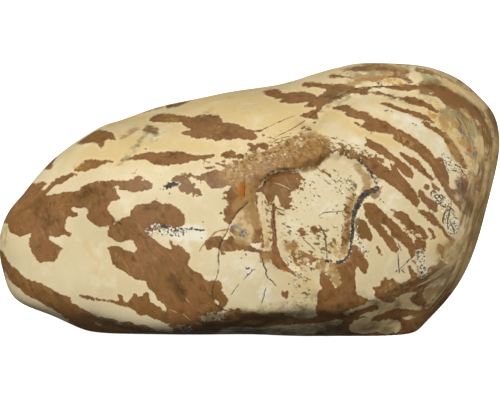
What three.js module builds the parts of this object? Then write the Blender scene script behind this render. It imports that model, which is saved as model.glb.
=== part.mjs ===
// A water-worn, hand-polished jasper boulder of the kind set in a planted aquarium, lying on its flattest
// side. It formed as one piece, so it is one closed solid. Millimetres, +Z up, +X along its length, and -Y is
// the way that its show face looks.
import * as THREE from "three";
import { mergeVertices } from "three/addons/utils/BufferGeometryUtils.js";

const { clamp, degToRad, lerp, mapLinear, smoothstep } = THREE.MathUtils;

// Driving dimensions
const HEART = new THREE.Vector3(8, 0.8, 50); // the point that every radius of the stone is measured from
const FRONT_DEPTH = 58; // heart to the show face, before the worn faces bite
const BACK_DEPTH = 55; // heart to the hidden face
const BODY_ROUNDNESS = 2.9; // 2 is an ellipsoid, more is boxier
const RIM_BITE = 0.8; // how much of a worn face's bite is left where the stone's outline is
const RIM_WIDTH = 0.4; // how far from the outline that fading goes, as the sine of an angle at the heart
const REST_EDGE = 80; // how tight the edge is around the flat that the stone lies on
const REST_DIP = 0.3; // that flat is worn to this far below the floor, and cut off level with the floor

// The long outline of the stone in the XZ plane, anticlockwise from its right end: 200 mm long, 106 mm high
const OUTLINE = [
  [101.3, 73.5], [99.7, 84.5], [93.6, 93.2], [85.4, 101.6], [75, 106], [60, 107], [45, 106.6], [34, 103.7],
  [8, 97.3], [-20, 90.9], [-52, 82.7], [-61, 80.1], [-76, 69.2], [-91.5, 54], [-98.8, 46], [-101.5, 36.5],
  [-99.4, 24], [-94.5, 12.2], [-79, 4.6], [-62, -3], [-46, -7], [-18, -9], [12, -9], [48, -11], [61, -7],
  [71.5, 3.8], [79.4, 13], [84.3, 22], [91.9, 46],
];

// Worn faces: the way each one looks, how far it lies from the heart, and how tight its edge is
const WORN_FACES = [
  { name: "show face", looks: [0.05, -1, 0.05], reach: 50, edge: 7 },
  { name: "upper slope", looks: [-0.12, -0.6, 0.79], reach: 51, edge: 9 },
  { name: "right slope", looks: [0.5, -0.75, 0.43], reach: 70, edge: 8 },
  { name: "left slope", looks: [-0.45, -0.88, 0.1], reach: 66, edge: 8 },
  { name: "under the left half", looks: [-0.12, -0.14, -0.98], reach: 54.3, edge: 20 },
  { name: "lower right slope", looks: [0.6, -0.5, -0.62], reach: 73, edge: 20 },
  { name: "under the right half", looks: [0.29, -0.68, -0.68], reach: 62.8, edge: 24 },
  { name: "crown", looks: [0.3, -0.2, 0.93], reach: 64, edge: 10 },
  { name: "back", looks: [-0.1, 1, -0.05], reach: 48, edge: 7 },
  { name: "back left slope", looks: [-0.5, 0.85, 0.2], reach: 62, edge: 8 },
  { name: "back right slope", looks: [0.45, 0.85, -0.3], reach: 64, edge: 8 },
  { name: "back upper slope", looks: [0.1, 0.7, 0.7], reach: 54, edge: 9 },
  { name: "back under slope", looks: [-0.1, 0.55, -0.83], reach: 52, edge: 10 },
];

// The hollow under the front: two slopes that meet in a valley, so that it fades out towards the left
const HOLLOW = {
  slopes: [
    { name: "left slope", looks: [0.14, -0.49, -0.87], reach: 53.3 },
    { name: "right slope", looks: [-0.06, -0.49, -0.87], reach: 53.3 },
  ],
  valley: 30, // how tight the valley between the slopes is
  edge: 24,
};
const FARTHEST = 1000; // a slope that looks away from a direction doesn't end it before this

// The show face is laid out on a picture plane through its middle, across and up, as it is looked at
const SEEN_FROM = 800; // how far away the eye is
const SEEN_TILT = degToRad(8); // how far down it looks
const SEEN_MIDDLE = new THREE.Vector3(0, 0, 51.2);
const SHOW_FADE = 0.15; // how soon the relief fades in from the outline, as the sine of an angle at the heart

// The scar: a flake that sprang off the show face long ago, since polished over, clockwise
const SCAR = [
  [5, 9.5], [10, 12], [18, 13], [25, 14], [28, 18], [32, 19.5], [38, 18.5], [44, 15.5], [49, 10],
  [51.5, 6], [51, 3], [46, 1.5], [42.5, -3], [40.5, -10], [40, -18], [37.5, -23.5], [31, -25.5],
  [24, -25.5], [18, -28.5], [12, -27.5], [8, -23], [5, -15], [3.5, -5], [3, 3],
];
const SCAR_DEPTH = 1.9;
const SCAR_WALL = 4.2; // how wide the step down into the scar is

// Lines that stand proud of the show face or sink into it
const RELIEF = [
  {
    name: "scar groove",
    rise: -1.7,
    width: 1.7,
    line: [[38, 18], [46, 14], [51, 7], [50, 3], [44, 0], [41, -6], [40, -16], [38, -23], [31, -25.5]],
  },
  { name: "scar column", rise: 1.5, width: 2.6, line: [[5.5, 1], [5.5, -8], [7.5, -17], [11, -24]] },
  { name: "scar lip", rise: 1.5, width: 6.5, line: [[-4, 5], [6, 15], [18, 20], [30, 24], [42, 22]] },
  { name: "crown crease", rise: -2.2, width: 4, line: [[24, 33], [32, 38], [40, 42], [50, 45], [62, 45]] },
  { name: "shoulder valley", rise: -1.8, width: 11, line: [[-30, 18], [-10, 24], [8, 30], [26, 38]] },
  { name: "foot ledge", rise: 0.8, width: 2.4, line: [[0, -44.5], [22, -44], [40, -43], [79, -26]] },
  { name: "left dimple", rise: -1.2, width: 9, line: [[-72, -8], [-58, -20]] },
];

// Slow undulations of the whole surface: the way each wave runs, in turns per metre, and its height
const SWELLS = [
  { waves: [14, 9, 5], height: 0.7, start: 0.4 },
  { waves: [-7, 12, 16], height: 0.6, start: 1.9 },
  { waves: [24, -15, 11], height: 0.35, start: 3.1 },
];
const METRE = 1000;

// How finely the shapes above are followed
const OUTLINE_STEPS = 720;
const SHELL_DETAIL = 21; // 20 x (detail + 1) squared triangles
const SHELL_STRETCH = new THREE.Vector3(100, 56, 56); // the half sizes that a ball is drawn out to first
const SCAR_DENSITY = 0.8; // how much closer the vertices stand around the scar than at the back
const SCAR_WAY = new THREE.Vector3(25, -56, -3); // from the heart to the middle of the scar
const SAME_POINT = 1e-5; // vertices of the ball that are closer than this are one

// The outline as a radius for each angle around the heart, from steps along a smooth closed curve
const rimCurve = new THREE.CatmullRomCurve3(OUTLINE.map(([x, z]) => new THREE.Vector3(x, 0, z)), true);
const rim = rimCurve
  .getPoints(OUTLINE_STEPS)
  .slice(1)
  .map((point) => point.sub(HEART))
  .map(({ x, z }) => ({ angle: Math.atan2(z, x), radius: Math.hypot(x, z) }))
  .sort((a, b) => a.angle - b.angle);
rim.push({ angle: rim[0].angle + 2 * Math.PI, radius: rim[0].radius });
rim.unshift({ angle: rim.at(-2).angle - 2 * Math.PI, radius: rim.at(-2).radius });

function rimRadius(angle) {
  const index = rim.findIndex((step) => step.angle > angle);
  const [from, to] = [rim[index - 1], rim[index]];
  return mapLinear(angle, from.angle, to.angle, from.radius, to.radius);
}

// The larger of two nearnesses, with a soft change from one to the other: the edge between two worn faces
function softer(a, b, edge) {
  return (Math.max(a, 0) ** edge + Math.max(b, 0) ** edge) ** (1 / edge);
}

// How far the stone reaches from its heart along a unit direction, before the relief of the show face.
// Each form gives a nearness, one over its reach along that direction, and the nearest form wins.
function bodyRadius(way) {
  const outline = Math.hypot(way.x, way.z) / rimRadius(Math.atan2(way.z, way.x));
  const depth = Math.abs(way.y) / (way.y < 0 ? FRONT_DEPTH : BACK_DEPTH);
  const bite = lerp(RIM_BITE, 1, smoothstep(Math.abs(way.y), 0, RIM_WIDTH));
  let nearness = softer(outline, depth, BODY_ROUNDNESS);
  for (const face of WORN_FACES) {
    const looks = new THREE.Vector3(...face.looks).normalize();
    nearness = softer(nearness, (bite * way.dot(looks)) / face.reach, face.edge);
  }
  const apart = HOLLOW.slopes.reduce((sum, slope) => {
    const looks = new THREE.Vector3(...slope.looks).normalize();
    return sum + Math.max((bite * way.dot(looks)) / slope.reach, 1 / FARTHEST) ** -HOLLOW.valley;
  }, 0);
  return 1 / softer(nearness, apart ** (-1 / HOLLOW.valley), HOLLOW.edge);
}

// Where a point of the stone shows on the picture plane
function seen(point) {
  const from = point.clone().sub(SEEN_MIDDLE);
  const deep = from.y * Math.cos(SEEN_TILT) - from.z * Math.sin(SEEN_TILT);
  const up = from.y * Math.sin(SEEN_TILT) + from.z * Math.cos(SEEN_TILT);
  const shrink = SEEN_FROM / (SEEN_FROM + deep);
  return new THREE.Vector2(from.x * shrink, up * shrink);
}

function distanceToSegment(spot, start, end) {
  const along = new THREE.Vector2(...end).sub(new THREE.Vector2(...start));
  const reach = spot.clone().sub(new THREE.Vector2(...start));
  const t = clamp(reach.dot(along) / along.lengthSq(), 0, 1);
  return reach.addScaledVector(along, -t).length();
}

function distanceToLine(spot, line) {
  return Math.min(...line.slice(1).map((end, i) => distanceToSegment(spot, line[i], end)));
}

function isInside(spot, loop) {
  let inside = false;
  loop.forEach(([x, y], i) => {
    const [lastX, lastY] = loop.at(i - 1);
    const crosses = y > spot.y !== lastY > spot.y;
    if (crosses && spot.x < mapLinear(spot.y, y, lastY, x, lastX)) inside = !inside;
  });
  return inside;
}

// How far the show face stands proud of the body at a point: the scar and the lines around it
function faceRelief(point) {
  const spot = seen(point);
  let rise = 0;
  if (isInside(spot, SCAR)) {
    const fromEdge = distanceToLine(spot, [...SCAR, SCAR[0]]);
    rise -= SCAR_DEPTH * smoothstep(fromEdge, 0, SCAR_WALL);
  }
  for (const mark of RELIEF) {
    rise += mark.rise * Math.exp(-((distanceToLine(spot, mark.line) / mark.width) ** 2));
  }
  return rise;
}

function swell(point) {
  return SWELLS.reduce((sum, { waves, height, start }) => {
    const turns = point.dot(new THREE.Vector3(...waves)) / METRE;
    return sum + height * Math.sin(2 * Math.PI * turns + start);
  }, 0);
}

// The stone's skin along a unit direction from its heart
function skin(way) {
  const body = HEART.clone().addScaledVector(way, bodyRadius(way));
  const shown = smoothstep(-way.y, 0, SHOW_FADE);
  const reach = bodyRadius(way) + swell(body) + shown * faceRelief(body);
  const nearness = softer(1 / reach, -way.z / (HEART.z + REST_DIP), REST_EDGE);
  const point = HEART.clone().addScaledVector(way, 1 / nearness);
  point.z = Math.max(point.z, 0);
  return point;
}

// Directions for the vertices of the skin: a ball of even triangles, drawn out like the stone and closer
// together towards the scar
function ball() {
  const geometry = new THREE.IcosahedronGeometry(1, SHELL_DETAIL);
  geometry.deleteAttribute("normal");
  geometry.deleteAttribute("uv");
  const merged = mergeVertices(geometry, SAME_POINT);
  const scar = SCAR_WAY.clone().divide(SHELL_STRETCH).normalize();
  const positions = merged.attributes.position;
  for (let i = 0; i < positions.count; i++) {
    const way = new THREE.Vector3().fromBufferAttribute(positions, i);
    way.addScaledVector(scar, SCAR_DENSITY * Math.max(0, way.dot(scar)));
    way.multiply(SHELL_STRETCH).normalize();
    positions.setXYZ(i, way.x, way.y, way.z);
  }
  return merged;
}

function stoneGeometry() {
  const geometry = ball();
  const positions = geometry.attributes.position;
  for (let i = 0; i < positions.count; i++) {
    const point = skin(new THREE.Vector3().fromBufferAttribute(positions, i));
    positions.setXYZ(i, point.x, point.y, point.z);
  }
  // The origin is under the middle of the stone's box
  geometry.computeBoundingBox();
  const middle = geometry.boundingBox.getCenter(new THREE.Vector3());
  geometry.translate(-middle.x, -middle.y, 0);
  geometry.computeVertexNormals();
  return geometry;
}

const jasper = new THREE.MeshStandardMaterial({ color: 0xddcfa4, roughness: 0.42, metalness: 0 });
const stone = new THREE.Mesh(stoneGeometry(), jasper);
stone.name = "stone";

const part = new THREE.Group();
part.add(stone);
export default part;
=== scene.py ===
"""A water-worn jasper boulder for a planted aquarium, on a pale studio floor.

The boulder formed as one piece, so it is one mesh that stands for the frame's node "stone". Its form is that
of the frame's solid, with the finer relief of the show face added. Its markings are drawn on a sheet,
and fall on the show face as an eye in front of the stone sees them. Where the drawing doesn't reach, layers
of the same two colours run on through the stone.
"""
import logging
import math
from dataclasses import dataclass, field
from enum import Enum

import bpy
import numpy as np
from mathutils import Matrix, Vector, noise


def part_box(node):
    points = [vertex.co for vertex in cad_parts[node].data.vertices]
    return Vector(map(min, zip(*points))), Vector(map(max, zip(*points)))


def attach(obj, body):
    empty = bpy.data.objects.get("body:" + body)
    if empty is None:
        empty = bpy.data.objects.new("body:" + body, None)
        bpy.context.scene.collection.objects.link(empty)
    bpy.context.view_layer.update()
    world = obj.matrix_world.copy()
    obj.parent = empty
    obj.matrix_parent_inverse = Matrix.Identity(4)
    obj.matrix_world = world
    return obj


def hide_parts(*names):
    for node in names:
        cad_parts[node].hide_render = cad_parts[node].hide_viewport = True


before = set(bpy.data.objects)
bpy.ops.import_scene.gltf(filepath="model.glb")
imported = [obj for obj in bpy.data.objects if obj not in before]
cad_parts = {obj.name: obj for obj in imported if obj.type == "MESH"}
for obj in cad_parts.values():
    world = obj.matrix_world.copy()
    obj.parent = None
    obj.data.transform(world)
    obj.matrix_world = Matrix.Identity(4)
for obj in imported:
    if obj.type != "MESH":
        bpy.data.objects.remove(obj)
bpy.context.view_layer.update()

MM = 0.001  # metres in a millimetre
TINY = 1e-9  # keeps a length that divides from being zero
MOST_CUTS = 100  # that one subdivision makes
LOG = logging.getLogger("boulder")

Spots = list[tuple[float, float]]
Tree = bpy.types.NodeTree
Socket = bpy.types.NodeSocket
Colour = Socket | tuple[float, float, float, float]


def paint(code: str) -> tuple[float, float, float, float]:
    """Turn an sRGB colour into the linear one that shaders use.

    Args:
        code: The colour as six hex digits.

    Returns:
        Red, green, blue and an alpha of one.
    """
    parts = (int(code[i:i + 2], 16) / 255 for i in (0, 2, 4))
    linear = (p / 12.92 if p <= 0.04045 else ((p + 0.055) / 1.055) ** 2.4 for p in parts)
    return (*linear, 1.0)


def add_node(tree: Tree, kind: str, feeds: dict | None = None, gives: int | None = 0,
             **settings: object) -> Socket | None:
    """Add a node with its settings and links.

    Args:
        tree: The node tree that it goes into.
        kind: The node's type, without "ShaderNode".
        feeds: What goes into its inputs, by identifier: a socket to link, or a value.
        gives: Which of its outputs is returned, or none where it has no output.
        **settings: The node's own settings.

    Returns:
        The output socket, or none.
    """
    made = tree.nodes.new("ShaderNode" + kind)
    for name, value in settings.items():
        setattr(made, name, value)
    sockets = {socket.identifier: socket for socket in made.inputs}
    for name, value in (feeds or {}).items():
        if isinstance(value, Socket):
            tree.links.new(value, sockets[name])
        else:
            sockets[name].default_value = value
    return None if gives is None else made.outputs[gives]


def vertex_places(mesh: bpy.types.Mesh) -> np.ndarray:
    """Read a mesh's vertices, as points, one a row."""
    places = np.empty(len(mesh.vertices) * 3)
    mesh.vertices.foreach_get("co", places)
    return places.reshape(-1, 3)


def smooth_step(value: np.ndarray, low: float, high: float) -> np.ndarray:
    """Rise smoothly from 0 at low to 1 at high."""
    part = np.clip((value - low) / (high - low), 0, 1)
    return part * part * (3 - 2 * part)


def smooth_line(points: Spots, closed: bool, steps: int) -> np.ndarray:
    """Lay a smooth curve through points: a centripetal Catmull-Rom spline.

    Args:
        points: What the curve goes through.
        closed: Whether it comes back to its start.
        steps: Steps between one point and the next.

    Returns:
        The curve as points, one a row.
    """
    given = np.asarray(points, float)
    if closed:
        given = np.vstack([given[-1:], given, given[:2]])
    else:
        given = np.vstack([2 * given[0] - given[1], given, 2 * given[-1] - given[-2]])
    p0, p1, p2, p3 = given[:-3, None], given[1:-2, None], given[2:-1, None], given[3:, None]
    pairs = ((p0, p1), (p1, p2), (p2, p3))
    knots = (np.sqrt(np.linalg.norm(far - near, axis=2, keepdims=True)) for near, far in pairs)
    a, b, c = (np.maximum(knot, TINY) for knot in knots)
    start = ((p1 - p0) / a - (p2 - p0) / (a + b) + (p2 - p1) / b) * b
    end = ((p2 - p1) / b - (p3 - p1) / (b + c) + (p3 - p2) / c) * b
    t = (np.arange(steps) / steps)[None, :, None]
    curve = p1 + start * t + (3 * (p2 - p1) - 2 * start - end) * t**2 + (2 * (p1 - p2) + start + end) * t**3
    curve = curve.reshape(-1, given.shape[1])
    return curve if closed else np.vstack([curve, given[-2]])


@dataclass(frozen=True)
class Nearest:
    """Where spots lie beside a line.

    Attributes:
        distance: How far they are from it.
        side: On which side they lie, as -1 or 1.
        along: How far along it they are, from 0 to 1.
        beyond: How far past its ends they lie.
        inside: Whether they lie in its loop.
    """

    distance: np.ndarray
    side: np.ndarray
    along: np.ndarray
    beyond: np.ndarray
    inside: np.ndarray


def nearest(spots: np.ndarray, line: np.ndarray, closed: bool) -> Nearest:
    """Measure spots against a line.

    Args:
        spots: Spots on the sheet, one a row.
        line: The line's points, one a row.
        closed: Whether its last point joins its first.

    Returns:
        The measures, in the line's units.
    """
    ends = np.roll(line, -1, axis=0) if closed else line[1:]
    starts = line if closed else line[:-1]
    best = np.full(len(spots), np.inf)
    side, along, beyond = np.zeros((3, len(spots)))
    inside = np.zeros(len(spots), bool)
    for index, (start, end) in enumerate(zip(starts, ends)):
        step, reach = end - start, spots - start
        length = max(float(step @ step), TINY)
        raw = reach @ step / length
        part = np.clip(raw, 0, 1)
        gap = np.hypot(*(reach - part[:, None] * step).T)
        closer = gap < best
        best[closer] = gap[closer]
        cross = step[0] * reach[:, 1] - step[1] * reach[:, 0]
        side[closer] = np.sign(cross)[closer]
        along[closer] = ((index + part) / len(starts))[closer]
        past = np.zeros(len(spots))
        if index == 0:
            past = np.maximum(past, -raw)
        if index == len(starts) - 1:
            past = np.maximum(past, raw - 1)
        beyond[closer] = (past * math.sqrt(length))[closer]
        crosses = (start[1] > spots[:, 1]) != (end[1] > spots[:, 1])
        slope = step[0] / step[1] if step[1] else 0.0
        inside ^= crosses & (spots[:, 0] < start[0] + (spots[:, 1] - start[1]) * slope)
    return Nearest(best, side, along, beyond, inside & closed)


# The stone's form. Millimetres, as in the frame's own solid.


@dataclass(frozen=True)
class Sheet:
    """The sheet that the show face is drawn on, as an eye in front of the stone sees it."""

    middle: tuple[float, float, float] = (0, 0, 51.2)
    eye_distance: float = 800.0
    eye_tilt: float = math.radians(8)  # how far down the eye looks
    step: float = 0.4  # millimetres in a step of the drawing
    middle_step: tuple[float, float] = (250, 200)  # the sheet's middle, in steps across and down

    def toward_eye(self) -> np.ndarray:
        """Give the unit direction from the sheet's middle to the eye."""
        return np.array([0, -math.cos(self.eye_tilt), math.sin(self.eye_tilt)])

    def eye(self) -> np.ndarray:
        """Give the eye's place."""
        return np.array(self.middle) + self.eye_distance * self.toward_eye()

    def seen(self, points: np.ndarray) -> np.ndarray:
        """Find where points show on the sheet.

        Args:
            points: Points in space, one a row.

        Returns:
            Millimetres across and up from the sheet's middle, one row a point.
        """
        reach = points - np.array(self.middle)
        deep = reach[:, 1] * math.cos(self.eye_tilt) - reach[:, 2] * math.sin(self.eye_tilt)
        up = reach[:, 1] * math.sin(self.eye_tilt) + reach[:, 2] * math.cos(self.eye_tilt)
        shrink = self.eye_distance / (self.eye_distance + deep)
        return np.stack([reach[:, 0] * shrink, up * shrink], axis=1)

    def steps(self, points: np.ndarray) -> np.ndarray:
        """Find where points show, in the drawing's steps: across from the left, and down from the top."""
        across, up = self.seen(points).T / self.step
        return np.stack([self.middle_step[0] + across, self.middle_step[1] - up], axis=1)


@dataclass(frozen=True)
class WornFace:
    """A face worn flat.

    Attributes:
        looks: The way that it looks.
        reach: How far it lies from the heart.
        edge: How tight its edge is.
    """

    looks: tuple[float, float, float]
    reach: float
    edge: float

    def nearness(self, ways: np.ndarray, bite: np.ndarray) -> np.ndarray:
        """Give one over the face's reach along unit directions, by how much of its bite is left there."""
        looks = np.array(self.looks) / np.linalg.norm(self.looks)
        return bite * (ways @ looks) / self.reach


@dataclass(frozen=True)
class Swell:
    """A slow wave of the whole surface.

    Attributes:
        waves: The way that it runs, in turns per metre.
        height: Its height.
        start: Where in a turn it starts, in radians.
    """

    waves: tuple[float, float, float]
    height: float
    start: float


@dataclass(frozen=True)
class Ridge:
    """A line that stands proud of the show face, or sinks into it where its rise is negative."""

    rise: float
    width: float
    line: Spots


@dataclass(frozen=True)
class Bump:
    """A small round rise on the show face, in millimetres on the sheet."""

    rise: float
    radius: float
    spots: Spots


@dataclass
class Boulder:
    """The stone itself: one closed skin with its relief."""

    sheet: Sheet = field(default_factory=Sheet)
    heart: tuple[float, float, float] = (8, 0.8, 50)  # the point that every radius is measured from
    front_depth: float = 58.0  # heart to the show face, before the worn faces bite
    back_depth: float = 55.0  # heart to the hidden face
    body_roundness: float = 2.9  # 2 is an ellipsoid, more is boxier
    rim_bite: float = 0.8  # how much of a worn face's bite is left at the outline
    rim_width: float = 0.4  # how far from the outline that fading goes, as the sine of an angle
    rest_edge: float = 80.0  # how tight the edge is around the flat that the stone lies on
    rest_dip: float = 0.3  # that flat is worn to this far below the floor, and cut off level with it
    show_fade: float = 0.15  # how soon the relief fades in from the outline, as the sine of an angle
    outline: Spots = field(default_factory=lambda: [
        (101.3, 73.5), (99.7, 84.5), (93.6, 93.2), (85.4, 101.6), (75, 106), (60, 107), (45, 106.6),
        (34, 103.7), (8, 97.3), (-20, 90.9), (-52, 82.7), (-61, 80.1), (-76, 69.2), (-91.5, 54), (-98.8, 46),
        (-101.5, 36.5), (-99.4, 24), (-94.5, 12.2), (-79, 4.6), (-62, -3), (-46, -7), (-18, -9), (12, -9),
        (48, -11), (61, -7), (71.5, 3.8), (79.4, 13), (84.3, 22), (91.9, 46)])
    outline_steps: int = 25  # from one of its points to the next
    faces: list[WornFace] = field(default_factory=lambda: [
        WornFace((0.05, -1, 0.05), 50, 7), WornFace((-0.12, -0.6, 0.79), 51, 9),
        WornFace((0.5, -0.75, 0.43), 70, 8), WornFace((-0.45, -0.88, 0.1), 66, 8),
        WornFace((-0.12, -0.14, -0.98), 54.3, 20), WornFace((0.6, -0.5, -0.62), 73, 20),
        WornFace((0.29, -0.68, -0.68), 62.8, 24),
        WornFace((0.3, -0.2, 0.93), 64, 10), WornFace((-0.1, 1, -0.05), 48, 7),
        WornFace((-0.5, 0.85, 0.2), 62, 8), WornFace((0.45, 0.85, -0.3), 64, 8),
        WornFace((0.1, 0.7, 0.7), 54, 9), WornFace((-0.1, 0.55, -0.83), 52, 10)])
    hollow: list[WornFace] = field(default_factory=lambda: [  # two slopes under the front
        WornFace((0.14, -0.49, -0.87), 53.3, 24), WornFace((-0.06, -0.49, -0.87), 53.3, 24)])
    hollow_valley: float = 30.0  # how tight the valley is that they meet in
    farthest: float = 1000.0  # a slope that looks away from a direction doesn't end it before this
    swells: list[Swell] = field(default_factory=lambda: [
        Swell((14, 9, 5), 0.7, 0.4), Swell((-7, 12, 16), 0.6, 1.9), Swell((24, -15, 11), 0.35, 3.1)])
    scar: Spots = field(default_factory=lambda: [  # where a flake sprang off, since polished over
        (5, 9.5), (10, 12), (18, 13), (25, 14), (28, 18), (32, 19.5), (38, 18.5), (44, 15.5), (49, 10),
        (51.5, 6), (51, 3), (46, 1.5), (42.5, -3), (40.5, -10), (40, -18), (37.5, -23.5), (31, -25.5),
        (24, -25.5), (18, -28.5), (12, -27.5), (8, -23), (5, -15), (3.5, -5), (3, 3)])
    scar_depth: float = 1.9
    scar_wall: float = 2.4  # how wide the step down into the scar is
    ridges: list[Ridge] = field(default_factory=lambda: [
        # the scar's groove, column and lip, the crown crease, the shoulder valley, the foot ledge, a dimple
        Ridge(-1.7, 1.3, [
            (38, 18), (46, 14), (51, 7), (50, 3), (44, 0), (41, -6), (40, -16), (38, -23), (31, -25.5)]),
        Ridge(1.5, 2.6, [(5.5, 1), (5.5, -8), (7.5, -17), (11, -24)]),
        Ridge(1.5, 6.5, [(-4, 5), (6, 15), (18, 20), (30, 24), (42, 22)]),
        Ridge(-2.2, 4, [(24, 33), (32, 38), (40, 42), (50, 45), (62, 45)]),
        Ridge(-1.8, 11, [(-30, 18), (-10, 24), (8, 30), (26, 38)]),
        Ridge(0.8, 2.4, [(0, -44.5), (22, -44), (40, -43), (79, -26)]),
        Ridge(-1.2, 9, [(-72, -8), (-58, -20)]),
        # thin grooves, finer than the frame's solid holds
        Ridge(-0.6, 0.8, [(3, 1), (3.4, -6), (4.4, -14), (5.4, -19)]),
        Ridge(-0.6, 0.8, [(9.4, -2), (9.6, -8), (10.4, -17), (12, -22), (16, -28)]),
        Ridge(-0.5, 0.7, [(-2.6, 7), (-2.4, 1)]),
        Ridge(-0.35, 0.7, [(-1, -1), (-5, -5), (-9, -12), (-12, -18), (-12.6, -25), (-14, -32)]),
        Ridge(-0.3, 0.8, [(31, 24), (46, 18)]),
    ])
    pebbles: list[Bump] = field(default_factory=lambda: [
        Bump(0.7, 1.4, [(5.2, 9.2), (7.4, 10.2), (10, 11.6), (13.2, 12.4), (16.6, 12.6)])])
    ripple_height: float = 0.3
    ripple_size: float = 2.7  # from one ripple to the next
    ripple_fade: float = 3.0  # how far into their patch the ripples grow
    ripple_patch: Spots = field(default_factory=lambda: [
        (8, 12), (18, 22), (34, 26), (46, 20), (34, 18), (22, 14)])
    segments: tuple[int, int, int] = (192, 104, 93)  # of the cube that the skin is laid out from
    crowding: float = 2.16  # how much closer the vertices stand on the show face
    crowd_way: tuple[float, float, float] = (-0.06, -1, -0.05)
    stretch: tuple[float, float, float] = (120, 56, 56)  # the half sizes that a ball is drawn out to

    def __post_init__(self) -> None:
        """Work out the outline's radius at each angle around the heart."""
        curve = smooth_line(self.outline, True, self.outline_steps) - np.array(self.heart)[[0, 2]]
        angle, radius = np.arctan2(curve[:, 1], curve[:, 0]), np.hypot(*curve.T)
        order = np.argsort(angle)
        self.rim_angle, self.rim_radius = angle[order], radius[order]

    @staticmethod
    def softer(one: np.ndarray, other: np.ndarray, edge: float) -> np.ndarray:
        """Give the larger of two nearnesses, with a soft change from one to the other."""
        return (np.maximum(one, 0) ** edge + np.maximum(other, 0) ** edge) ** (1 / edge)

    def body_radius(self, ways: np.ndarray) -> np.ndarray:
        """Find how far the worn body reaches from the heart.

        Args:
            ways: Unit directions, one a row.

        Returns:
            Millimetres along each.
        """
        x, y, z = ways.T
        rim = np.interp(np.arctan2(z, x), self.rim_angle, self.rim_radius, period=2 * np.pi)
        outline = np.hypot(x, z) / rim
        depth = np.abs(y) / np.where(y < 0, self.front_depth, self.back_depth)
        bite = self.rim_bite + (1 - self.rim_bite) * smooth_step(np.abs(y), 0, self.rim_width)
        nearness = self.softer(outline, depth, self.body_roundness)
        for face in self.faces:
            nearness = self.softer(nearness, face.nearness(ways, bite), face.edge)
        apart = sum(np.maximum(slope.nearness(ways, bite), 1 / self.farthest) ** -self.hollow_valley
                    for slope in self.hollow)
        return 1 / self.softer(nearness, apart ** (-1 / self.hollow_valley), self.hollow[0].edge)

    def swell(self, points: np.ndarray) -> np.ndarray:
        """Give the height of the slow waves at points."""
        return sum(wave.height * np.sin(2 * np.pi * points @ np.array(wave.waves) * MM + wave.start)
                   for wave in self.swells)

    def relief(self, points: np.ndarray) -> np.ndarray:
        """Find how far the show face stands proud of the body.

        Args:
            points: Points of the body, one a row.

        Returns:
            Millimetres at each point.
        """
        spots = self.sheet.seen(points)
        scar = nearest(spots, np.array(self.scar), True)
        rise = -self.scar_depth * np.where(scar.inside, smooth_step(scar.distance, 0, self.scar_wall), 0)
        for ridge in self.ridges:
            line = nearest(spots, np.array(ridge.line, float), False)
            rise += ridge.rise * np.exp(-((line.distance / ridge.width) ** 2))
        for pebble in self.pebbles:
            for spot in pebble.spots:
                rise += pebble.rise * np.exp(-(np.hypot(*(spots - spot).T) / pebble.radius) ** 2)
        patch = nearest(spots, np.array(self.ripple_patch, float), True)
        within = np.where(patch.inside, smooth_step(patch.distance, 0, self.ripple_fade), 0)
        for index in np.nonzero(within)[0]:
            wave = noise.noise(Vector(points[index]) / self.ripple_size)
            rise[index] += self.ripple_height * within[index] * wave
        return rise

    def skin(self, ways: np.ndarray) -> np.ndarray:
        """Find the stone's skin.

        Args:
            ways: Unit directions from its heart, one a row.

        Returns:
            The points where they leave the stone.
        """
        heart = np.array(self.heart)
        radius = self.body_radius(ways)
        body = heart + ways * radius[:, None]
        shown = smooth_step(-ways[:, 1], 0, self.show_fade)
        reach = radius + self.swell(body) + shown * self.relief(body)
        nearness = self.softer(1 / reach, -ways[:, 2] / (self.heart[2] + self.rest_dip), self.rest_edge)
        points = heart + ways / nearness[:, None]
        points[:, 2] = np.maximum(points[:, 2], 0)
        return points

    def ways(self, cube: np.ndarray) -> np.ndarray:
        """Spread a cube's vertices over the stone, closer together on its show face.

        Args:
            cube: Vertices of a cube that reaches from -1 to 1, one a row.

        Returns:
            Unit directions from the heart.
        """
        ball = np.tan(cube * math.pi / 4)
        ball /= np.linalg.norm(ball, axis=1, keepdims=True)
        pole = np.array(self.crowd_way) / np.linalg.norm(self.crowd_way)
        toward = ball @ pole
        aside = ball - toward[:, None] * pole
        length = np.linalg.norm(aside, axis=1)
        aside /= np.maximum(length, TINY)[:, None]
        half = length / np.maximum(1 + toward, TINY) / self.crowding  # the tangent of half the angle
        ahead, beside = (1 - half**2) / (1 + half**2), 2 * half / (1 + half**2)
        ways = (pole * ahead[:, None] + aside * beside[:, None]) * np.array(self.stretch)
        return ways / np.linalg.norm(ways, axis=1, keepdims=True)

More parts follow.
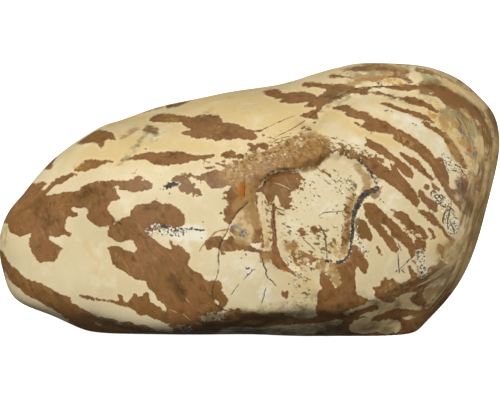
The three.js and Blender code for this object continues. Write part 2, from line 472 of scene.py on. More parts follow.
    def cut_cube(self) -> bpy.types.Object:
        """Add a cube and cut it into even segments along each axis.

        Returns:
            The cube, from -1 to 1.
        """
        bpy.ops.object.select_all(action="DESELECT")
        bpy.ops.mesh.primitive_cube_add(size=2, location=(0, 0, 0))
        cube = bpy.context.object
        bpy.ops.object.mode_set(mode="EDIT")
        bpy.ops.mesh.select_mode(type="EDGE")
        for axis, total in enumerate(self.segments):
            first = next(part for part in range(1, total) if total % part == 0 and total // part <= MOST_CUTS)
            for parts in (first, total // first):
                if parts == 1:
                    continue
                bpy.ops.object.mode_set(mode="OBJECT")
                mesh = cube.data
                ends = np.empty(len(mesh.edges) * 2, int)
                mesh.edges.foreach_get("vertices", ends)
                gaps = np.abs(np.diff(vertex_places(mesh)[ends.reshape(-1, 2)], axis=1))[:, 0]
                chosen = gaps[:, axis] > gaps.sum(axis=1) / 2
                mesh.vertices.foreach_set("select", np.zeros(len(mesh.vertices), bool))
                mesh.polygons.foreach_set("select", np.zeros(len(mesh.polygons), bool))
                mesh.edges.foreach_set("select", chosen)
                bpy.ops.object.mode_set(mode="EDIT")
                bpy.ops.mesh.subdivide(number_cuts=parts - 1)
        bpy.ops.object.mode_set(mode="OBJECT")
        return cube

    def build(self) -> bpy.types.Object:
        """Shape the boulder.

        Returns:
            The boulder, in metres, fitted to the frame's stone.
        """
        boulder = self.cut_cube()
        mesh = boulder.data
        points = self.skin(self.ways(vertex_places(mesh)))
        low, high = (np.array(corner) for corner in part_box("stone"))
        size = np.ptp(points, axis=0)
        points = low + (points - points.min(axis=0)) * (high - low) / size
        mesh.vertices.foreach_set("co", points.ravel())
        mesh.update()
        bpy.ops.object.mode_set(mode="EDIT")
        bpy.ops.mesh.select_all(action="SELECT")
        bpy.ops.mesh.normals_make_consistent(inside=False)
        bpy.ops.object.mode_set(mode="OBJECT")
        bpy.ops.object.shade_smooth()
        boulder.name = mesh.name = "jasper_boulder"
        return boulder


# The markings of the show face. The drawing's steps of 0.4 mm, across from the left and down from the top.


@dataclass(frozen=True)
class Mark:
    """A marking: a closed outline, or a line with a width.

    Attributes:
        name: What it is.
        points: The points that its outline or its line goes through.
        width: The line's width in steps, or zero for a closed outline.
        amount: How strong it is where it is whole.
        fade: How far it fades out past its edge, in steps.
    """

    name: str
    points: Spots
    width: float = 0.0
    amount: float = 1.0
    fade: float = 0.0


@dataclass(frozen=True)
class Crack:
    """A crack or a hairline.

    Attributes:
        points: What it goes through.
        width: Its width in steps, which narrows to its ends.
        tint: Its colour: 1 is manganese black, 0 iron brown, -0.35 amber, and -0.8 or less cream.
    """

    points: Spots
    width: float
    tint: float


@dataclass(frozen=True)
class Blot:
    """A stain round a place in the stone.

    Attributes:
        place: The place, in millimetres.
        radius: How far it goes, in millimetres.
        amount: How strong it is in its middle.
    """

    place: tuple[float, float, float]
    radius: float
    amount: float


class Tone(Enum):
    """The soft colours that stain the stone, and painted light and shade, each in the mesh attribute of its
    name.
    """

    GOLD = "gold"  # warmer, deeper cream
    PEARL = "pearl"  # whiter cream
    DARKER_AND_PAINTED_SHADE = "darker_and_painted_shade"  # a darker patch of either colour, and painted shade along the foot and under the brow
    LIGHTER_AND_PAINTED_LIGHT = "lighter_and_painted_light"  # a lighter patch of brown, and painted light on two shaded bands by the foot
    TAN = "tan"  # grey-brown skin of the worn rim
    OCHRE = "ochre"
    RUST = "rust"
    HAZE = "haze"  # grey-green
    SLATE = "slate"  # blue-grey around manganese
    FLECK = "fleck"  # sprayed with fine black flecks
    MOTTLE = "mottle"  # where the two colours break each other up
    SPRAY = "spray"  # fine brown dashes
    GRAIN = "grain"  # coarse brown and tan grain of the swollen brow
    STREAK = "streak"  # fine layers along the worn rim
    STRIPE = "stripe"  # soft brown stripe
    PALE = "pale"  # soft tan-cream stripe


# The brown patches of the show face: closed outlines, and one broad line
BROWN_PATCHES = [
    Mark("left mass", [(-8, 182), (33, 181), (36, 184), (40, 182), (45, 182), (46, 184), (43, 187),
        (42, 190), (45, 189), (50, 184.5), (55, 179.5), (60, 176.5), (66, 175), (72, 172.5), (77, 175),
        (72, 177), (67, 180), (63, 183.5), (57, 185), (51, 189), (48, 192), (46, 195), (52, 194.5),
        (60, 193), (67, 191.5), (79, 190.5), (83, 186), (89, 183), (96, 181.5), (112, 180.5), (127, 180.5),
        (132, 179), (136, 176), (142, 176), (146, 178.5), (142, 180), (148, 180), (150, 183), (153, 184.5),
        (151, 189), (145, 190.5), (139, 191.5), (134, 192.5), (129, 191.5), (125, 190), (116, 190),
        (118, 195), (120, 198.5), (114, 200.5), (109, 204), (107.5, 208), (110, 213), (114, 218), (115, 222),
        (109, 225.5), (102, 227), (96, 226), (91, 222.5), (87, 218), (88, 212), (86, 208), (79, 208.5),
        (72.5, 207.5), (72, 211.5), (77.5, 213), (76.5, 216.5), (69, 217), (65.5, 219), (66, 223),
        (64.5, 227), (67, 231.5), (71, 233), (69.5, 237), (65, 235), (55, 237), (49, 235.5), (50, 240),
        (57, 244), (60, 247), (63, 248.5), (60, 251), (57.5, 258), (52, 262), (45, 262), (38, 262.5),
        (36, 258), (31, 252), (30, 246), (29, 242), (31, 236), (32, 233.5), (25, 235.5), (19, 236.5),
        (13, 234), (9, 230), (6, 222), (-8, 222)]),
    Mark("left rim", [(45, 168), (58, 150), (74, 136), (92, 124), (97, 131), (103, 131), (109, 131.5),
        (113, 134), (115, 137.5), (116, 140), (110, 139.5), (105, 141), (104, 147), (101, 148), (98.5, 146),
        (97, 143), (91, 143), (85, 144), (79, 145), (73, 147.5), (68, 150.5), (63, 154.5), (60, 158),
        (55, 164), (50, 170)]),
    Mark("shoulder dash", [(74, 170.5), (77, 168), (79, 165.5), (83, 163.5), (85, 161), (89, 159.5),
        (93, 159.5), (102, 160.5), (108, 160), (114, 162), (106, 163.5), (102, 164.5), (99, 167),
        (95, 168.5), (90, 169.5), (86, 171.5), (82, 171.5)]),
    Mark("bottom left band", [(-4, 246), (2, 250), (5, 256), (10, 264), (17, 270), (24, 276), (29, 280),
        (36, 281.5), (43, 284.5), (50, 288), (57, 292), (62, 295), (69, 297), (72, 302), (80, 307),
        (88, 311.5), (97, 316.5), (102, 316.5), (106, 318), (114, 319), (120, 322), (126, 321.5),
        (133, 322.5), (137, 325), (145, 324.5), (152, 328), (160, 329.5), (168, 330), (178, 334), (150, 345),
        (100, 345), (80, 327), (72, 321.5), (66, 317.5), (60, 314), (56, 311), (48, 307), (40, 301.5),
        (32, 298), (25, 294), (20, 289), (14, 285), (9, 279), (4, 268), (-6, 262)]),
    Mark("low branch", [(79, 295.5), (85, 295), (92, 296.5), (100, 299), (112, 300), (118, 301),
        (118, 296.5), (116.5, 293), (120, 294), (123, 296.5), (124.5, 302), (128, 302), (131, 298),
        (133.5, 294.5), (136, 294.5), (139, 297), (142, 296), (144, 293), (147, 292), (149.5, 295),
        (149.5, 300), (153, 303.5), (160, 307), (163, 311), (168, 311), (176, 314), (185, 321), (172, 320),
        (169, 318.5), (165, 314.5), (161, 319), (155, 319), (150, 316.5), (146, 315.5), (141, 316.5),
        (137, 313), (132, 309.5), (127, 307), (119, 305.5), (112, 303), (104, 301.5), (95, 301), (86, 299)]),
    Mark("upper lens", [(121, 160.5), (124, 159), (128, 158), (132, 156.5), (135, 154.5), (141, 154),
        (150, 152), (160, 152), (166, 151.2), (175, 152), (181, 151.5), (187, 153), (192, 154.5),
        (200, 155.5), (207, 155), (213, 154), (214, 156), (208, 158.5), (200, 160), (193, 161), (186, 163),
        (178, 164.5), (168, 165.2), (160, 165.3), (155, 164.5), (151, 162.5), (148, 160.5), (140, 160),
        (130, 160)]),
    Mark("double lens", [(150, 121), (154, 118), (158, 116), (164, 114.7), (170, 115), (176, 115),
        (182, 115), (188, 116.5), (193, 117), (198, 115.5), (205, 115), (213, 115), (219, 116),
        (221.5, 118.5), (222, 121), (228, 122.5), (236, 124), (242, 126.5), (248, 129), (252, 130.5),
        (259, 129.8), (263, 130.5), (260, 132), (254, 133), (257, 135), (258, 136.7), (255, 139.5),
        (248, 140.3), (240, 139), (230, 139.8), (221, 139.5), (215, 140.7), (209, 139), (200, 138.5),
        (193, 138), (188, 135.5), (183, 135), (181, 133), (185, 131), (192, 129.5), (186, 127.5), (183, 125),
        (180, 122.5), (170, 122.3), (160, 122), (154, 122.5)]),
    Mark("crown", [(262, 94), (268, 92), (277, 91.5), (285, 93), (296, 92), (305, 91.5), (312, 93.5),
        (318, 96.5), (321, 95), (324, 91.5), (326, 90), (322, 88.3), (315, 87), (306, 87), (301.5, 85.5),
        (306, 83.5), (316, 82.5), (330, 84), (343, 84), (352, 86), (360, 88.5), (368, 87.5), (376, 86),
        (386, 86), (393, 85), (401, 84.5), (409, 84.5), (418, 86), (417, 89), (408, 91), (398, 90.5),
        (390, 88.5), (382, 87.5), (374, 88.5), (367, 90), (371, 93.5), (364, 94.5), (352, 93.5), (345, 97),
        (337, 100), (331, 103), (324, 106), (320.5, 110), (317, 113.5), (319, 118), (312, 119), (306, 117.5),
        (299.5, 116), (306, 113), (311, 110.5), (316, 108), (312, 107), (305, 107), (304, 105.5), (309, 103),
        (302, 102.5), (293, 103.5), (286, 103), (279, 101), (283, 99.5), (275, 98.5), (269, 96.5)]),
    Mark("crown dash", [(327, 77.3), (332, 75.3), (338, 74.8), (344, 76), (355, 78), (348, 78.3),
        (338, 77.7)]),
    Mark("crown rim", [(338, 71.2), (346, 70), (354, 68.6), (362, 67), (370, 65.8), (382, 66), (391, 67),
        (398, 69), (408, 73), (401, 72.8), (393, 70.5), (380, 70), (366, 70.3), (354, 70.9), (346, 71.6)]),
    Mark("crown stripe", [(350, 82), (356, 79.5), (364, 77.7), (372, 77.5), (383, 76), (392, 75.3),
        (400, 76.5), (412, 80.8), (404, 80), (394, 77.3), (384, 78.5), (378, 80.5), (386, 82), (380, 84),
        (372, 81.5), (364, 80.5)]),
    Mark("right crown", [(419, 84.8), (428, 84.3), (438, 83.5), (444, 86), (449, 89.5), (455, 93.5),
        (461, 96.5), (467, 97.5), (472, 100.5), (477, 104.5), (482, 107.5), (487, 112.5), (491, 119),
        (494, 126), (495, 134), (491, 136), (488, 130), (484, 124), (479, 119), (474, 116), (470, 118),
        (466, 119), (461, 116.5), (456, 113), (450, 111.5), (446, 110), (446, 106), (441, 101), (438, 98),
        (433, 96.7), (426, 94.5), (421, 93), (427, 92.7), (433, 93.7), (434, 92), (431, 89.8), (425, 88),
        (419, 87)]),
    Mark("chain", [(373, 92.5), (377, 91.3), (381, 92), (386, 93.7), (392, 95.3), (399, 97), (405, 96.7),
        (412, 96.7), (418, 98.3), (424, 101), (430, 104), (437, 110), (441.5, 112.5), (441.5, 115.5),
        (437, 113.5), (431, 110.5), (425, 108), (418, 106), (410, 103.5), (403, 101), (396, 98.5),
        (389, 96.8), (381, 95.5), (376, 94.8)]),
    Mark("second chain", [(376, 103.3), (383, 102.8), (390, 103.2), (394, 105), (399, 107.3), (406, 109),
        (413, 110.5), (420, 112.7), (426, 115.5), (431, 118.5), (434, 121), (434, 123), (429, 121),
        (422, 119.3), (415, 117.2), (410, 114.5), (404, 112.7), (398, 111), (391, 108.5), (385, 106)]),
    Mark("crest dash", [(422, 121.5), (425.5, 121), (428, 122.5), (432, 125.3), (437, 128), (443, 131),
        (449, 135.5), (453, 140), (456, 145), (459, 150), (462, 154.5), (465, 159.5), (468, 165),
        (472, 170.5), (477, 175.5), (481, 181), (478, 187), (474, 183), (470, 177), (466, 171.5), (461, 166),
        (456, 160), (452, 154.5), (449, 149.5), (446, 144), (443, 138), (438, 134), (433, 131.3),
        (428, 128.5), (424, 125.5)]),
    Mark("first stripe", [(332, 107.5), (337, 106), (342, 104.7), (349, 105), (351, 107.5), (356, 109),
        (359, 111.3), (363, 111.3), (367, 112.7), (371, 115.7), (376, 118.3), (384, 120.3), (389, 123),
        (393, 126.3), (399, 129.5), (404, 132), (409, 134.5), (414, 138), (420, 142), (425, 146),
        (429, 149.5), (432, 153), (434, 157), (438, 158), (442, 157.5), (444, 161), (446, 168.5), (448, 175),
        (449.5, 181), (449.5, 187), (454, 189), (457, 189), (460, 195), (462, 200), (466, 201.7), (470, 201),
        (472, 206), (471, 213), (466, 214.5), (460, 211), (456, 205), (450, 199), (446, 193), (443, 188),
        (440, 182.5), (437, 179), (434, 174), (431, 168), (427, 163), (421, 157.5), (414, 151), (410, 149),
        (405, 147), (400, 143), (396, 140.5), (393, 137), (392, 134), (386, 133.5), (380, 132.5),
        (372, 131.5), (367, 130), (362, 127.5), (356, 124.5), (353, 121.7), (358, 122.5), (363, 124.5),
        (364, 121), (359, 119.3), (353, 118), (348, 116.5), (344, 114), (346, 112.5), (340, 111),
        (334, 109.5)]),
    Mark("second stripe", [(400, 152.3), (403.5, 152), (408, 155.5), (411, 157.5), (415, 158.5),
        (419, 161.5), (422, 165), (426, 170), (429, 173.5), (432, 177), (434, 180), (430, 179.7), (426, 177),
        (421, 173.5), (416, 169), (412, 165.5), (407, 162), (403, 158), (400, 155)]),
    Mark("stripe blob", [(424, 187), (425, 183.7), (428, 184), (429.7, 187), (427.5, 189.7), (424.8, 189)]),
    Mark("stripe blob low", [(431, 182.5), (434, 183.5), (437, 186), (440, 189), (438, 191), (434.5, 189.3),
        (432, 186.5)]),
    Mark("third stripe", [(364, 136.5), (369, 138.8), (375, 141.5), (382, 145.2), (386, 149), (391, 153),
        (397, 157.5), (403, 162), (409, 166.5), (412, 171), (413.5, 175.5), (413, 178.5), (408, 177.5),
        (403, 174.5), (398, 169), (401, 173.5), (405, 178.5), (409, 183.5), (413, 188.5), (416, 193.5),
        (419, 198), (419.5, 202), (416, 207.5), (412, 204), (408, 199.5), (404, 196), (400, 192.5),
        (396, 189), (391, 185.3), (386, 182), (382, 179), (378, 178.5), (374, 175.5), (370, 171),
        (366, 166.5), (362, 162), (356, 157.5), (362, 155.5), (368, 156), (371, 157.5), (366, 152.5),
        (370, 153.5), (375, 156.5), (380, 159), (384, 161.5), (382, 163), (387, 166.5), (390, 168.5),
        (392, 165.5), (393.5, 164), (391, 160.5), (386, 158), (381, 154.5), (375, 151.5), (370, 147.5),
        (364, 145), (367, 142), (365.5, 139)]),
    Mark("fourth stripe", [(362.5, 204.5), (366, 202.3), (371, 202), (375, 204), (380, 208.5), (385, 213.5),
        (390, 218), (396, 223.5), (401, 228.5), (406, 233.5), (411, 240), (416, 245.5), (420, 250),
        (417, 255), (411.5, 257.5), (409.5, 254), (408, 249.5), (403, 245), (398, 240.5), (394, 238),
        (398, 247), (398, 251), (395.5, 253), (391, 250.5), (387, 245), (382, 238.5), (377, 232.5),
        (372, 226), (367, 220), (364, 215), (365, 211)]),
    Mark("fifth stripe", [(390.5, 208.7), (393, 209.2), (396, 211), (400, 210), (403, 211), (407, 214.5),
        (411, 220), (415, 224), (418, 224.5), (422, 227.5), (426, 232), (427.5, 237.5), (425.5, 241.5),
        (426, 247), (425, 251), (421.5, 251), (418, 247.5), (415, 242.5), (413, 239), (418, 238.5),
        (415, 236), (411, 231.5), (406, 229), (402, 224), (398, 219), (393, 216), (393.5, 213),
        (391.5, 211)]),
    Mark("sixth stripe", [(417.5, 193), (419, 190.5), (422, 190), (425, 194), (429, 198.3), (434, 200),
        (438, 204), (437.5, 208), (437, 212.5), (433, 211), (428, 207.5), (423, 202), (420, 197.5)]),
    Mark("seventh stripe", [(418, 210), (421.5, 209.5), (426, 211.3), (431, 212.3), (435, 216), (438, 220.5),
        (442, 225.5), (446, 231), (450, 236), (456, 242), (452, 247), (449, 241), (445, 236), (441, 230),
        (437, 226.5), (431, 223), (426, 218), (421, 213.8)]),
    Mark("low blob", [(437.5, 243.5), (441, 245), (446, 249), (446.5, 253), (446, 257), (442, 259.3),
        (440.3, 256.5), (440, 253), (438, 250.5)]),
    Mark("leaf", [(357, 218.5), (361, 218.5), (364.5, 221), (368, 225.5), (370.5, 230.5), (372, 236),
        (371.5, 240.5), (368.5, 241), (366, 239), (361, 238.5), (358, 235), (356, 231), (355, 226),
        (355.5, 221.5)]),
    Mark("spindle", [(376, 247), (377.5, 245.5), (380, 249), (382, 253), (383, 256.5), (380.5, 255.5),
        (378, 251.5)]),
    Mark("block", [(321, 271), (325, 271.5), (329, 276), (332, 280), (333.5, 285.5), (336, 288),
        (338.7, 285.5), (340, 281), (339, 275.5), (336, 269), (331, 263), (338, 262), (345, 261), (349, 257),
        (351.5, 250.5), (352.5, 246.5), (356, 245.5), (360, 248.5), (362.5, 253), (365.5, 258.5),
        (368.5, 263.5), (368, 268), (366.5, 273), (363, 273.5), (359.5, 269), (357, 265.5), (355.7, 270),
        (355, 277), (356, 284), (356.2, 291), (357.5, 295), (363, 296.5), (368, 299.5), (374, 300.5),
        (366, 304.5), (358, 307), (350, 310.5), (344, 314), (344, 340), (315, 340), (316, 318), (315.5, 309),
        (317, 300), (318.5, 291), (322, 289.5), (320, 284), (319.7, 277)]),
    Mark("lower right band", [(372.5, 288.5), (374.5, 286.5), (380, 286), (380.5, 281), (383.5, 282),
        (385, 277.7), (388, 279), (393.5, 278.5), (395.5, 281.5), (401, 283), (407, 280.5), (410, 278.5),
        (409, 272), (407.5, 266.5), (409.5, 265), (412, 269), (416, 273), (418, 277.5), (424, 278),
        (428, 273.5), (433, 270.5), (440, 267), (447, 263.5), (450, 265), (446, 271), (441, 276), (434, 281),
        (428, 286), (424, 290), (423, 296), (427, 302), (424, 306.5), (417, 305.5), (411, 302), (409, 299),
        (412, 296), (417, 292.5), (411, 292), (404, 294), (397, 297), (394, 301.5), (386, 302.5),
        (379, 300.5), (375.5, 298), (374, 295), (375.5, 291)]),
    Mark("middle mass", [(107.5, 233), (110, 227), (113.5, 224), (119, 220.5), (124, 217.5), (129, 216),
        (131.5, 211), (135, 206.5), (141, 204), (150, 203), (154, 201), (158, 201), (162, 204), (167, 203.5),
        (172, 205), (178, 208.5), (182, 212.5), (185, 217.5), (185, 221.5), (183.5, 225.5), (178, 227.5),
        (170, 228), (163, 227), (158, 228.5), (154, 231.5), (145, 230.5), (148, 233.5), (152, 238),
        (158, 242.5), (164, 247), (170.5, 249), (171, 246), (169, 241), (168.5, 238), (170.5, 240.5),
        (174, 244.5), (181, 246), (185, 249.5), (190, 256), (190, 258.5), (187.5, 261), (190, 266.5),
        (195, 271.5), (201, 273.7), (205, 279), (211, 281), (217, 279.5), (221, 282.5), (222.5, 286),
        (221.5, 291), (225, 295), (229, 300.5), (227, 304), (224, 308), (222, 311), (215, 316), (205, 330),
        (195, 345), (178, 345), (181, 330), (178, 323.5), (174, 320), (170, 316), (167, 309.5), (162, 303.5),
        (157.5, 299.5), (155, 293.5), (149.5, 289.5), (147, 285), (144, 281), (137, 280), (130, 276.5),
        (125, 271.5), (119, 268.5), (113, 264), (110.5, 257), (109, 251.5), (107.5, 248), (112, 246.3),
        (118, 246), (124, 249), (129, 251.3), (135, 251.5), (137, 249.5), (135, 246), (133.5, 240.5),
        (128, 240.5), (121, 242.7), (115, 240.5), (110, 237)]),
    Mark("foot", [(160, 319), (185, 312), (205, 312), (218, 316), (226, 314), (230, 309.5), (236, 308.5),
        (240, 310), (244, 313.5), (249, 312.5), (253, 311.3), (258, 312.5), (263, 313.7), (268, 313),
        (272, 311.3), (277, 313.5), (284, 312.5), (290, 315), (298, 318), (307, 318.5), (315, 316.5),
        (325, 312), (345, 314), (352, 312.5), (360, 309.5), (367, 307), (373, 305), (378, 305.5),
        (379, 308.5), (383, 309), (390, 309.5), (399, 308.5), (408, 309), (418, 310), (428, 308.5),
        (436, 304), (441, 299), (444, 293), (448, 286), (455, 280), (465, 285), (455, 305), (430, 330),
        (405, 345), (395, 352), (180, 352), (174, 330)]),
    Mark("scar foot", [(259, 254), (263, 252), (270, 250.5), (272, 243), (272, 233), (271, 224),
        (271.5, 214), (272.5, 203), (274.5, 202), (275, 214), (276, 226), (276.5, 238), (277.5, 247),
        (280, 254), (284, 261), (288, 266), (292, 270.5), (298, 277), (292, 274), (287, 271.5), (283, 271.5),
        (277, 268), (273, 264), (270.5, 259.5), (267, 258.5), (263, 259.5), (260, 257)]),
    Mark("scar flake", [(257, 193), (262, 186), (266, 181), (270, 175.5), (276, 172.5), (284, 171),
        (292, 170.5), (299, 172), (301.5, 175), (304, 178), (301, 180), (302, 184), (303, 187), (306, 191),
        (300, 190), (294.5, 190.5), (291, 192), (289.5, 195), (291, 200), (290.5, 204), (293, 208),
        (296, 210), (290, 209.5), (284, 208), (280.5, 204), (278, 198.5), (275.5, 195.5), (274, 200),
        (271, 203), (268, 200), (264, 195), (260, 192.5)]),
    Mark("scar chip", [(310, 228), (313, 225.7), (316, 226.7), (319, 228), (319.5, 223.5), (321, 226),
        (322.5, 230), (320, 231.5), (316, 233), (312, 232.3)]),
    Mark("scar chip left", [(297, 229.3), (301, 228.7), (306, 231.5), (304.5, 234.5), (302.5, 236.3),
        (300, 234.5), (299.5, 231.5)]),
    Mark("scar chip low", [(286, 246.5), (290, 244.5), (296, 243), (297, 247), (295, 250), (296, 256),
        (298, 262), (301, 264.5), (297, 265), (293.5, 261), (291.5, 255), (290.5, 250), (287.5, 249.7)]),
    Mark("scar bed", [(300, 249.5), (304, 252), (309, 254), (314, 256.3), (321, 258.7), (327, 261.5),
        (332, 263), (328, 266), (322, 265), (318, 268), (313, 270), (308, 267.5), (303, 263.5), (301, 257)]),
    Mark("scar right strip", [(342, 232), (345, 229), (347, 220), (346, 211), (344, 208), (348, 205),
        (352, 199), (355, 196), (352.5, 205), (351, 215), (350, 228), (349.5, 240), (346.5, 247),
        (343.5, 250), (340.5, 246), (342, 240), (340.5, 238), (344, 236)]),
    Mark("left collar", [(233, 180.5), (240, 180), (246, 178), (252, 182), (258, 186), (256.5, 193),
        (254.5, 200), (255.5, 210), (258, 220), (261, 232), (262, 241), (257, 243), (252, 238), (249, 230),
        (248.5, 220), (248, 212), (243, 209), (239, 211), (234, 217), (231, 223), (227.5, 223), (223.5, 219),
        (224, 216.5), (220, 213), (225, 209.5), (226.5, 206), (229.5, 204), (227.5, 201), (226, 199),
        (223, 198), (226, 195.5), (223, 193.5), (228.5, 190), (230, 185.5)]),
    Mark("left branch", [(204, 243.5), (209, 238.5), (214, 236.3), (221, 236), (223, 238.5), (228, 239.3),
        (229, 236), (232, 235), (236, 239.5), (242, 241.5), (247, 243), (252, 246.5), (257, 249),
        (263, 250.5), (262, 252.3), (257, 252.2), (251, 252.7), (246, 251), (238, 250.7), (230, 251.5),
        (225, 250.7), (223.5, 251.5), (225.5, 254.7), (222, 254), (219.5, 250), (215, 248), (211, 249.7),
        (207, 250), (205, 247)]),
    Mark("brow", [(226, 181), (231, 177.5), (238, 176.5), (244, 173), (250, 168.5), (255, 164.5), (259, 161),
        (265, 158), (271, 155), (279, 153.5), (286, 153), (292, 150), (287, 147.5), (292, 145.7),
        (299, 147.5), (301, 144), (306, 141.5), (303, 139), (308, 138), (313, 139.5), (319, 139), (324, 140),
        (327, 144), (330, 149), (338, 149.5), (346, 149), (355, 152), (361, 160), (357, 159.5), (350, 157),
        (342, 155), (334, 152.5), (328, 152.5), (323, 156), (319, 163), (313, 166), (305, 167.5),
        (296, 169.5), (287, 168), (278, 169), (271, 171.5), (266, 173), (262, 176), (256, 178.5), (250, 180),
        (243, 181), (236, 181.5)]),
    Mark("brow patch", [(247, 144.3), (251, 143), (254, 145), (260, 142.3), (267.5, 143.3), (268.5, 149.3),
        (263, 149.7), (259, 148), (254, 151), (248, 151), (250, 147.5)]),
    Mark("brow lobe", [(221, 156.3), (223, 153), (226.5, 150.8), (231, 149.7), (235, 152), (236, 155),
        (240, 154), (244, 156), (243, 159.7), (238, 158.7), (231, 158.2), (226, 158)]),
    Mark("brow dash", [(215, 163), (219, 162.3), (225, 164.5), (232, 166.5), (237, 168.3), (230, 168.7),
        (222, 166.7)]),
    Mark("brow dash left", [(203, 165.7), (208, 166.5), (215, 166), (216, 167.5), (212, 168.7),
        (205.5, 168.7)]),
    Mark("brow dash right", [(308, 137.3), (311, 136), (318, 136.8), (316, 138.5), (310, 139)]),
    Mark("brow spot", [(293, 137.7), (297, 136), (302, 136.3), (304, 138), (298, 138.8)]),
    Mark("brow band", [(231, 160.5), (238, 161), (244, 163), (250, 163.5), (246, 166.5), (240, 166),
        (234, 163.5)]),
    Mark("feather root", [(170, 181), (174, 178), (176, 176), (180, 175), (183, 173.5), (187, 175),
        (191, 173.3), (195, 175.5), (203, 173.5), (210, 171), (217, 170), (224, 172), (229, 176),
        (225, 177.5), (228, 180), (229, 184), (225, 186.7), (217, 188.5), (210, 188), (207.5, 184),
        (203, 181), (197, 182.3), (195, 184.5), (197, 188), (198, 190.5), (201, 192), (200.5, 195.7),
        (192, 195), (184, 193), (179, 190.5), (178, 186.5), (181, 184), (178, 182), (174, 181.7)]),
    Mark("low spot", [(281, 294), (282, 290.6), (285, 291.3), (287.6, 290.2), (289.3, 294), (286.5, 298.6),
        (283.5, 297.5)]),
    Mark("back of stripes", [(461, 184), (463, 181), (466, 181), (470, 184), (471, 190), (472, 195),
        (472, 199.5), (467.5, 201), (464.5, 197.5), (462.5, 192)]),
    Mark("collar top", [(244, 178), (252, 173), (262, 170), (267, 173), (263, 181), (258, 189), (254, 198),
        (250, 194), (247, 186)]),
    Mark("collar low", [(243, 205), (249, 204), (254, 212), (255, 226), (257, 240), (250, 241), (243, 237),
        (236, 236), (230, 231), (233, 222), (238, 213)]),
    Mark("brow foot", [(262, 174), (270, 169.5), (280, 167.5), (292, 167.5), (305, 165), (318, 163),
        (324, 157), (329, 152)], 5),
]

# Cream that shows through the brown patches
CREAM_WINDOWS = [
    Mark("mass notch", [(112.5, 188), (113.5, 186.5), (117.5, 186), (119.5, 187.3), (116, 189)]),
    Mark("feather wedge", [(189, 180), (193, 178.7), (197, 181), (194, 183)]),
    Mark("drip streak", [(309, 109), (312, 107.5), (316, 106.7), (313, 108.7)]),
    Mark("fourth streak", [(380.5, 223.3), (384, 224.7), (388, 228), (390.5, 231.5), (390, 234),
        (394, 238.5), (391.5, 237.5), (387.5, 233), (385, 229)]),
    Mark("fifth streak", [(407, 229), (413, 231), (418, 233.5), (421, 236), (422.5, 240), (419, 236.7),
        (413.5, 233.8)]),
    Mark("ledge streak", [(343, 313), (350, 310), (358, 307), (365, 304.3), (371, 301.5), (376, 298.7),
        (380.5, 299.7), (379, 302.5), (373, 304.5), (366, 306.5), (359, 309.5), (352, 312.5), (346, 315.3)]),
    Mark("foot light left", [(349, 328.5), (352, 323), (357, 319.5), (363, 318), (370, 317.5), (372, 321),
        (378, 321.5), (386, 320), (393, 319.5), (398, 321), (400.5, 325), (401, 329), (397, 332.3),
        (391, 333), (385, 334.3), (378, 332.3), (370, 333), (360, 333.3), (352, 332.3)]),
    Mark("foot light mid", [(402, 318), (406, 316.6), (412, 315.4), (420, 313.3), (424, 314), (418, 317.4),
        (410, 319.3), (404, 319.7)]),
    Mark("foot light end", [(379, 309.3), (380.5, 302), (387, 303.3), (394.5, 302.3), (398, 298.5),
        (405, 293.3), (409.5, 294), (409, 299), (412.5, 302.3), (417, 306), (424, 307.3), (427, 302.5),
        (431, 304), (427, 308), (419, 309), (409, 308), (399, 307.5), (390, 310.5), (385, 312), (381, 314),
        (376, 315), (372, 318.5), (364, 317), (360, 316), (366, 313.3), (374, 311.3)]),
    Mark("foot olive", [(285, 315), (291, 310.5), (299, 307.5), (308, 305.5), (316, 305), (315.5, 311),
        (317, 316), (308, 318), (299, 317.7), (291, 315.5)]),
    Mark("foot grey", [(215, 334), (222, 328), (240, 325.5), (258, 327), (275, 325.5), (295, 324.5),
        (315, 323.5), (330, 321.5), (338, 319.5), (343, 321), (339, 325), (327, 326.7), (317, 330.5),
        (312, 336), (300, 343), (225, 343)]),
    Mark("foot spark", [(200, 317), (206, 315), (212, 313.3), (219, 315.5), (224, 318.5), (217, 319.5),
        (211, 320.7), (204, 320)]),
    Mark("block window", [(325, 266), (329, 264.5), (333, 267.5), (336, 271), (339, 275.5), (340, 280),
        (338.5, 285), (336, 287.5), (333.8, 284), (332, 279.5), (328, 275), (324.5, 270.5)]),
    Mark("mass slit", [(214, 300), (216.5, 301), (219, 305), (218, 306), (215.5, 303.5)]),
    Mark("bed light", [(303, 257), (307, 258.5), (306, 262), (310, 263.5), (315, 262), (318, 264.5),
        (313, 267.5), (308, 265.5), (304, 261.5)]),
]

